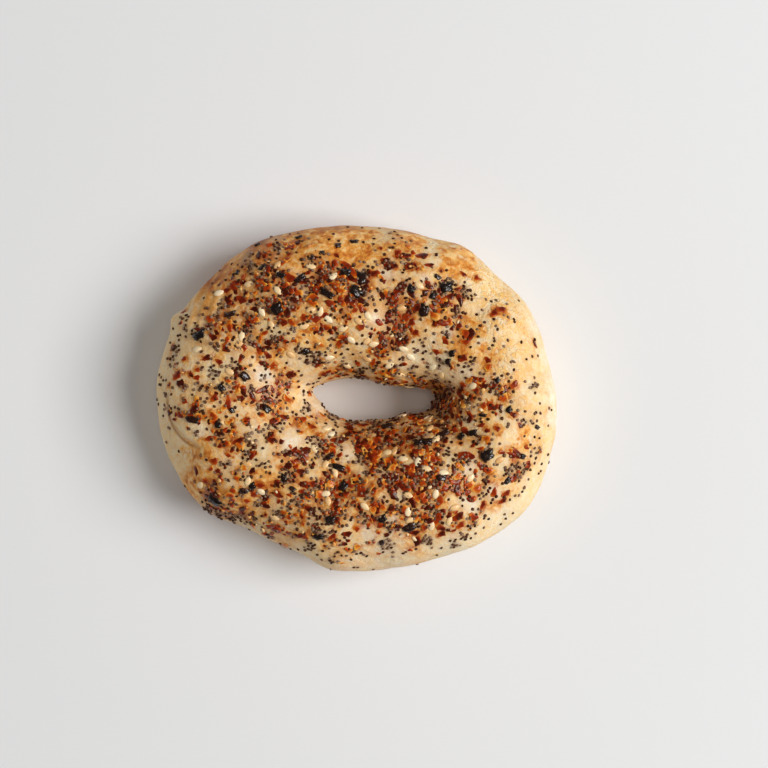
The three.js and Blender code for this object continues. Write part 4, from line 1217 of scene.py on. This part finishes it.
# The charred flakes, which the small onion ones keep clear of: (x, y, way it points, length,
# width), millimetres.
CHARRED = [
    (-47, 19, 10, 5.5, 3), (-29.5, 46.3, 30, 2.4, 1.2), (-35.5, 38, 60, 2.2, 1.6),
    (-37.5, 25.3, 10, 4, 1.9), (-23.5, 27, 20, 4.4, 3.8), (-28, 39.5, 35, 3.2, 1.5),
    (-16.5, 36.2, 30, 4.8, 1.9), (-22.5, 37, -30, 3.5, 2), (-2.8, 37.8, -20, 4, 2.8),
    (1.9, 36.3, 80, 5, 3.2), (0.3, 32, -50, 5.2, 3.4), (-8.5, 31.4, -38, 5.6, 2.2),
    (-0.3, 47.2, -10, 3.2, 1.6), (-5.2, 46, 0, 2.3, 2.2), (-15, 14, -60, 2.7, 2.4),
    (-17, 48.5, 10, 2.8, 1.4), (20.8, 26.6, 70, 4.6, 3), (27.6, 33.4, 0, 5, 3.6),
    (23.5, 31, 45, 3, 2), (24.8, 36.5, -45, 2.7, 1.6), (17, 33, 60, 3, 2.5),
    (29.2, 13.4, 0, 2.3, 2.2), (28, 11, 0, 2.1, 2), (-49, -6.6, -10, 5.4, 2.2),
    (-37.3, -3.8, -70, 2.2, 1.5), (-41.4, -8, 60, 2.4, 2.2), (-33.5, 6.4, -60, 3.8, 2.6),
    (-42.3, -31, -38, 5.4, 3.2), (-31, -26.5, 30, 2.5, 2.1), (-33.5, -28, -20, 3.4, 1.6),
    (-40.5, 3, -60, 3, 2), (-26.8, -3.4, -50, 3.6, 2.4), (-21.5, -24, 80, 3.2, 1.9),
    (-19, -27.5, -40, 2.5, 1.5), (-11, -41.8, 0, 3.8, 1.9), (-7.5, -36.8, -10, 3.6, 2.4),
    (-7.5, -17.5, 25, 3.4, 1.9), (-5, -21, -25, 5, 2), (-3.5, -26.5, 45, 4, 2.8),
    (16.5, -39, 15, 5.2, 2.6), (8.3, -36.4, 30, 3.4, 2.2), (19, -13.5, -30, 3, 2.6),
    (9.5, -8.5, -10, 4, 2.6), (8, -43.5, 0, 2.1, 2), (40, -17.3, 20, 5.2, 3.2),
    (21.8, -13.2, 0, 4, 2.6), (27, -10.5, 20, 4, 2.1), (35.5, -10.5, 0, 3.4, 2),
    (32, -11.5, 30, 3, 2.1), (26, -24, -10, 4, 2.3), (38.5, -5.2, -10, 3, 1.1),
    (46.5, -3.5, 30, 2.5, 2), (46, -24.8, 45, 3, 1.7), (54.8, -8.8, -35, 2.3, 1.4),
    (50.5, -17.6, -30, 2.4, 1.6), (43, 5.4, 40, 2.2, 1.6), (-13, 42.3, 15, 2.2, 1.2),
    (-10, 44, 0, 1.9, 1.2),
]
LAID_BY_HAND = ONION + SESAME + CHARRED
CHIP_SIDES = 9
CHIP_LEVELS = [(-0.5, 0.7), (-0.1, 1.0), (0.4, 0.78), (0.5, 0.36)]  # (height, breadth), as shares


def chip(form, number, size, place, thick, crumple):
    """A chip with a wavy edge, crumpled, a little pillowed, and burnt most at one end."""
    burnt = form.verts.layers.float.get("burnt") or form.verts.layers.float.new("burnt")
    shift = Vector((number * 1.7, number * 2.9, number * 0.6))
    rings = []
    for level, share in CHIP_LEVELS:
        ring = []
        for i in range(CHIP_SIDES):
            angle = 2 * math.pi * i / CHIP_SIDES
            wavy = 1 + 0.18 * math.sin(2 * angle + number) + 0.15 * math.sin(3 * angle + 2.1 * number)
            wavy += 0.1 * math.sin(5 * angle + 0.7 * number)
            x = 0.46 * share * wavy * math.cos(angle)
            y = 0.46 * share * wavy * math.sin(angle)
            rise = (0.3 + 0.15 * (number % 3)) * x * x - 0.3 * y * y + level * thick
            rise += crumple * noise.noise(Vector((x * 3.5, y * 3.5, 0)) + shift)
            point = form.verts.new(Vector((x, y, rise)) * size + place)
            point[burnt] = 1 - share + 1.1 * x
            ring.append(point)
        rings.append(ring)
    for lower, upper in zip(rings, rings[1:]):
        for i in range(CHIP_SIDES):
            after = (i + 1) % CHIP_SIDES
            form.faces.new((lower[i], lower[after], upper[after], upper[i]))
    form.faces.new(rings[0][::-1])
    form.faces.new(rings[-1])


def onion_shape(form, number):
    chip(form, number, size=1.0, place=Vector((0, 0, 0)), thick=0.2, crumple=0.13)


def onion_finish():
    """Baked onion sugar: clear and glossy, veined, darker where it baked longest."""
    onion = Finish("baked onion")
    vein = onion.grain(0.7 * MM, detail=3.0, distortion=0.8)
    baked = onion.painted("tone") + onion.painted("burnt") * 0.5 + (vein - 0.5) * 0.55 - 0.09
    onion.fill(onion.shader, {
        "Base Color": onion.ramp(ONION_COLOURS, baked),
        "Roughness": 0.3 + (vein - 0.5) * 0.3,
        "Specular IOR Level": 0.2,
        "Specular Tint": (1.0, 0.7, 0.45, 1.0),
        "Coat Weight": 0.26,
        "Coat Roughness": 0.06,
        "Subsurface Weight": 0.12,
        "Subsurface Radius": (1.0, 0.4, 0.15),
        "Subsurface Scale": 0.4 * MM,
        "Normal": onion.bump(vein, 0.12 * MM, 0.8),
    })
    return onion.material


# Each is laid a little wider than its mark, because its wavy edge takes some of the width.
onion_marks = [
    (x, y, turn, (0.97 * long, 0.35 + 1.12 * wide, 1.4), tone)
    for x, y, turn, long, wide, tone in ONION
]
onions = crowding(most=1.0, clumps=1.2, seed=41, apart=5 * MM)
paint(dough, "onion_flakes", onions * clear_of(LAID_BY_HAND, reach=1.9))
onion_flakes = lay(
    "onion_flakes",
    shape_set("onion", count=8, build=onion_shape),
    onion_finish(),
    {
        "Most": 1200000.0,
        "Gap": 1.15 * MM,
        "Seed": 5,
        "Small": ONION_SMALL,
        "Large": ONION_LARGE,
        "Rare": 1.5,
        "Tilt": 0.25,
        "Sunk": -0.06 * MM,
    },
    onion_marks,
)
ride_along(onion_flakes)

# Their juice ran out and baked into the dough round them, darkest right beside them, and the
# whole skin is darker brown where the flakes lie in heaps.
JUICE_REACH = 1.0 * MM
HEAP_DARKENING_REACH = 2.6 * MM
HEAP_DARKENING_THICK = 330  # points of flakes within reach where the skin is darkest

onion_tree = tree_of([point.co for point in onion_flakes.data.vertices])
away = np.array([onion_tree.find(Vector(point))[2] for point in skin])
juice = np.exp(-((away / JUICE_REACH) ** 1.3)) * (0.8 + 1.3 * waves(skin, 4 * MM, 9))
paint(dough, "juice", np.clip(juice, 0, 1))
stain = count_near(onion_tree, HEAP_DARKENING_REACH) / HEAP_DARKENING_THICK
paint(dough, "stain", np.clip(stain, 0, 1) ** 1.2)

# ---------------------------------------------------------------------------------------
# Charred flakes. Onion and garlic that stood proud and burnt: black, brittle, crumpled
# crumbs, shiny where the sugar ran.

CHARRED_SMALL = Vector((1.1, 0.9, 0.7)) * MM
CHARRED_LARGE = Vector((2.4, 1.6, 1.2)) * MM
CHARRED_COLOURS = [
    (0.0, (8, 2, 1)),
    (0.55, (17, 5, 3)),
    (0.76, (46, 13, 5)),
    (1.0, (100, 34, 11)),
]


def charred_shape(form, number):
    """Two burnt chips that stuck together in a heap, the upper one smaller."""
    for i in range(2):
        turn = 2.6 * i + number
        place = Vector((0.12 * math.cos(turn), 0.14 * math.sin(turn), 0.12 * i))
        chip(form, number * 3 + i, size=0.86 - 0.22 * i, place=place, thick=0.45, crumple=0.4)


def charred_finish():
    """Black crumpled sugar with a few deep red edges."""
    char = Finish("charred flake")
    rough = char.grain(0.6 * MM, detail=3.0, distortion=0.6)
    redness = rough * 0.9 + char.painted("tone") * 0.25
    char.fill(char.shader, {
        "Base Color": char.ramp(CHARRED_COLOURS, redness),
        "Roughness": 0.18 + rough * 0.35,
        "Specular IOR Level": 0.2,
        "Specular Tint": (1.0, 0.7, 0.5, 1.0),
        "Coat Weight": 0.8,
        "Coat Roughness": 0.04,
        "Normal": char.bump(rough, 0.3 * MM, 1.0),
    })
    return char.material


charred_marks = [
    (x, y, turn, (1.15 * long, 1.15 * wide, 0.6 * wide + 0.9), (0.3 * i) % 1)
    for i, (x, y, turn, long, wide) in enumerate(CHARRED)
]
paint(dough, "charred_flakes", crowding(most=0.3, clumps=1.0, seed=51, apart=8 * MM))
charred_flakes = lay(
    "charred_flakes",
    shape_set("charred", count=6, build=charred_shape),
    charred_finish(),
    {
        "Most": 1200.0,
        "Gap": 3.0 * MM,
        "Seed": 19,
        "Small": CHARRED_SMALL,
        "Large": CHARRED_LARGE,
        "Rare": 1.5,
        "Tilt": 0.4,
        "Sunk": -0.2 * MM,
    },
    charred_marks,
)
ride_along(charred_flakes)

# ---------------------------------------------------------------------------------------
# Garlic granules. Chopped dried garlic: small hard angular crumbs, cream to golden, strewn
# over the wet dough with the other toppings.

GARLIC_SMALL = Vector((0.8, 0.7, 0.6)) * MM
GARLIC_LARGE = Vector((2.0, 1.5, 1.1)) * MM
GARLIC_COLOURS = [
    (0.0, (244, 220, 178)),
    (0.35, (236, 190, 120)),
    (0.7, (220, 150, 70)),
    (1.0, (190, 108, 44)),
]


def garlic_shape(form, number):
    """A ball of twenty facets, knocked out of round."""
    bmesh.ops.create_icosphere(form, subdivisions=1, radius=0.5)
    shift = Vector((number * 2.3, 0, number * 4.1))
    for point in form.verts:
        point.co = point.co * (1 + 0.5 * noise.noise(point.co * 2.6 + shift))


def garlic_finish():
    """Cream to golden, waxy, a little clear at the edges."""
    garlic = Finish("garlic granule")
    mottle = garlic.grain(0.5 * MM, detail=2.0)
    tone = garlic.painted("tone") + (mottle - 0.5) * 0.3
    garlic.fill(garlic.shader, {
        "Base Color": garlic.ramp(GARLIC_COLOURS, tone),
        "Roughness": 0.35 + mottle * 0.2,
        "Coat Weight": 0.2,
        "Subsurface Weight": 0.3,
        "Subsurface Radius": (1.0, 0.6, 0.3),
        "Subsurface Scale": 0.5 * MM,
        "Normal": garlic.bump(mottle, 0.08 * MM, 0.6),
    })
    return garlic.material


garlic = crowding(most=1.2, clumps=1.0, seed=61, apart=5 * MM)
paint(dough, "garlic_granules", garlic * clear_of(LAID_BY_HAND, reach=1.6))
garlic_granules = lay(
    "garlic_granules",
    shape_set("garlic", count=5, build=garlic_shape),
    garlic_finish(),
    {
        "Most": 45000.0,
        "Gap": 1.6 * MM,
        "Seed": 17,
        "Small": GARLIC_SMALL,
        "Large": GARLIC_LARGE,
        "Rare": 1.5,
        "Tilt": 0.6,
        "Sunk": -0.15 * MM,
    },
    [],
)
ride_along(garlic_granules)

# With every topping laid, and its dust, painted shade and juice on the dough, the dough gets its crust.
dough.data.materials.append(crust_finish())
ride_along(dough)
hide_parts("bagel")

# ---------------------------------------------------------------------------------------
# The table and the studio. A plain pale top, a soft window of light on the right, a pale
# wall that gives some of it back on the left, and a faint one overhead.

TABLE_SIZE = 6.0
TABLE_GREY = (232, 232, 232)
DAYLIGHT = (0.99, 0.995, 1.0)
WALL_LIGHT = (1.0, 0.97, 0.94)
ROOM_STRENGTH = 0.11
LENS = 85.0
SENSOR = 36.0
# The pale surfaces: (name, degrees round, degrees up, distance, (width, height), power).
PALE_SURFACES = [
    ("wall", 178, 19, 1.7, (2.4, 0.9), 5.2),
    ("ceiling", 90, 89, 1.9, (0.7, 0.4), 3.6),
]


def table_top():
    """A square top, level with the bagel's base."""
    half = TABLE_SIZE / 2
    corners = np.array([(-half, -half, 0), (half, -half, 0), (half, half, 0), (-half, half, 0)])
    top = mesh_object("table", corners, np.array([[0, 1, 2, 3]]))
    paper = Finish("table top")
    paper.fill(paper.shader, {
        "Base Color": srgb(TABLE_GREY),
        "Roughness": 0.9,
        "Specular IOR Level": 0.1,
    })
    top.data.materials.append(paper.material)


def soft_light(name, way_round, elevation, distance, size, power, colour):
    """A soft light, of this width and height, that looks at the bagel."""
    lamp = bpy.data.lights.new(name, "AREA")
    lamp.shape = "RECTANGLE"
    lamp.size, lamp.size_y = size
    lamp.energy = power
    lamp.color = colour
    light = bpy.data.objects.new(name, lamp)
    bpy.context.scene.collection.objects.link(light)
    turn = math.radians(way_round)
    tilt = math.radians(elevation)
    level = math.cos(tilt)
    towards = Vector((math.cos(turn) * level, math.sin(turn) * level, math.sin(tilt)))
    light.location = towards * distance
    light.rotation_euler = towards.to_track_quat("Z", "Y").to_euler()
    return light


def overhead_camera():
    """A camera at the eye, looking straight down."""
    lens = bpy.data.cameras.new("overhead")
    lens.lens = LENS
    lens.sensor_width = SENSOR
    lens.clip_start = 0.01
    lens.clip_end = 20
    camera = bpy.data.objects.new("overhead", lens)
    bpy.context.scene.collection.objects.link(camera)
    camera.location = EYE
    bpy.context.scene.camera = camera


table_top()
soft_light(
    "window",
    way_round=0,
    elevation=45.5,
    distance=2.0,
    size=(1.2, 1.1),
    power=43.4,
    colour=DAYLIGHT,
)
for name, way_round, elevation, distance, size, power in PALE_SURFACES:
    glow = soft_light(name, way_round, elevation, distance, size, power, WALL_LIGHT)
    glow.visible_glossy = False
overhead_camera()
world = bpy.data.worlds.new("room")
world.use_nodes = True
room = world.node_tree.nodes["Background"]
room.inputs["Color"].default_value = (*WALL_LIGHT, 1.0)
room.inputs["Strength"].default_value = ROOM_STRENGTH
bpy.context.scene.world = world
bpy.context.scene.view_settings.view_transform = "Standard"
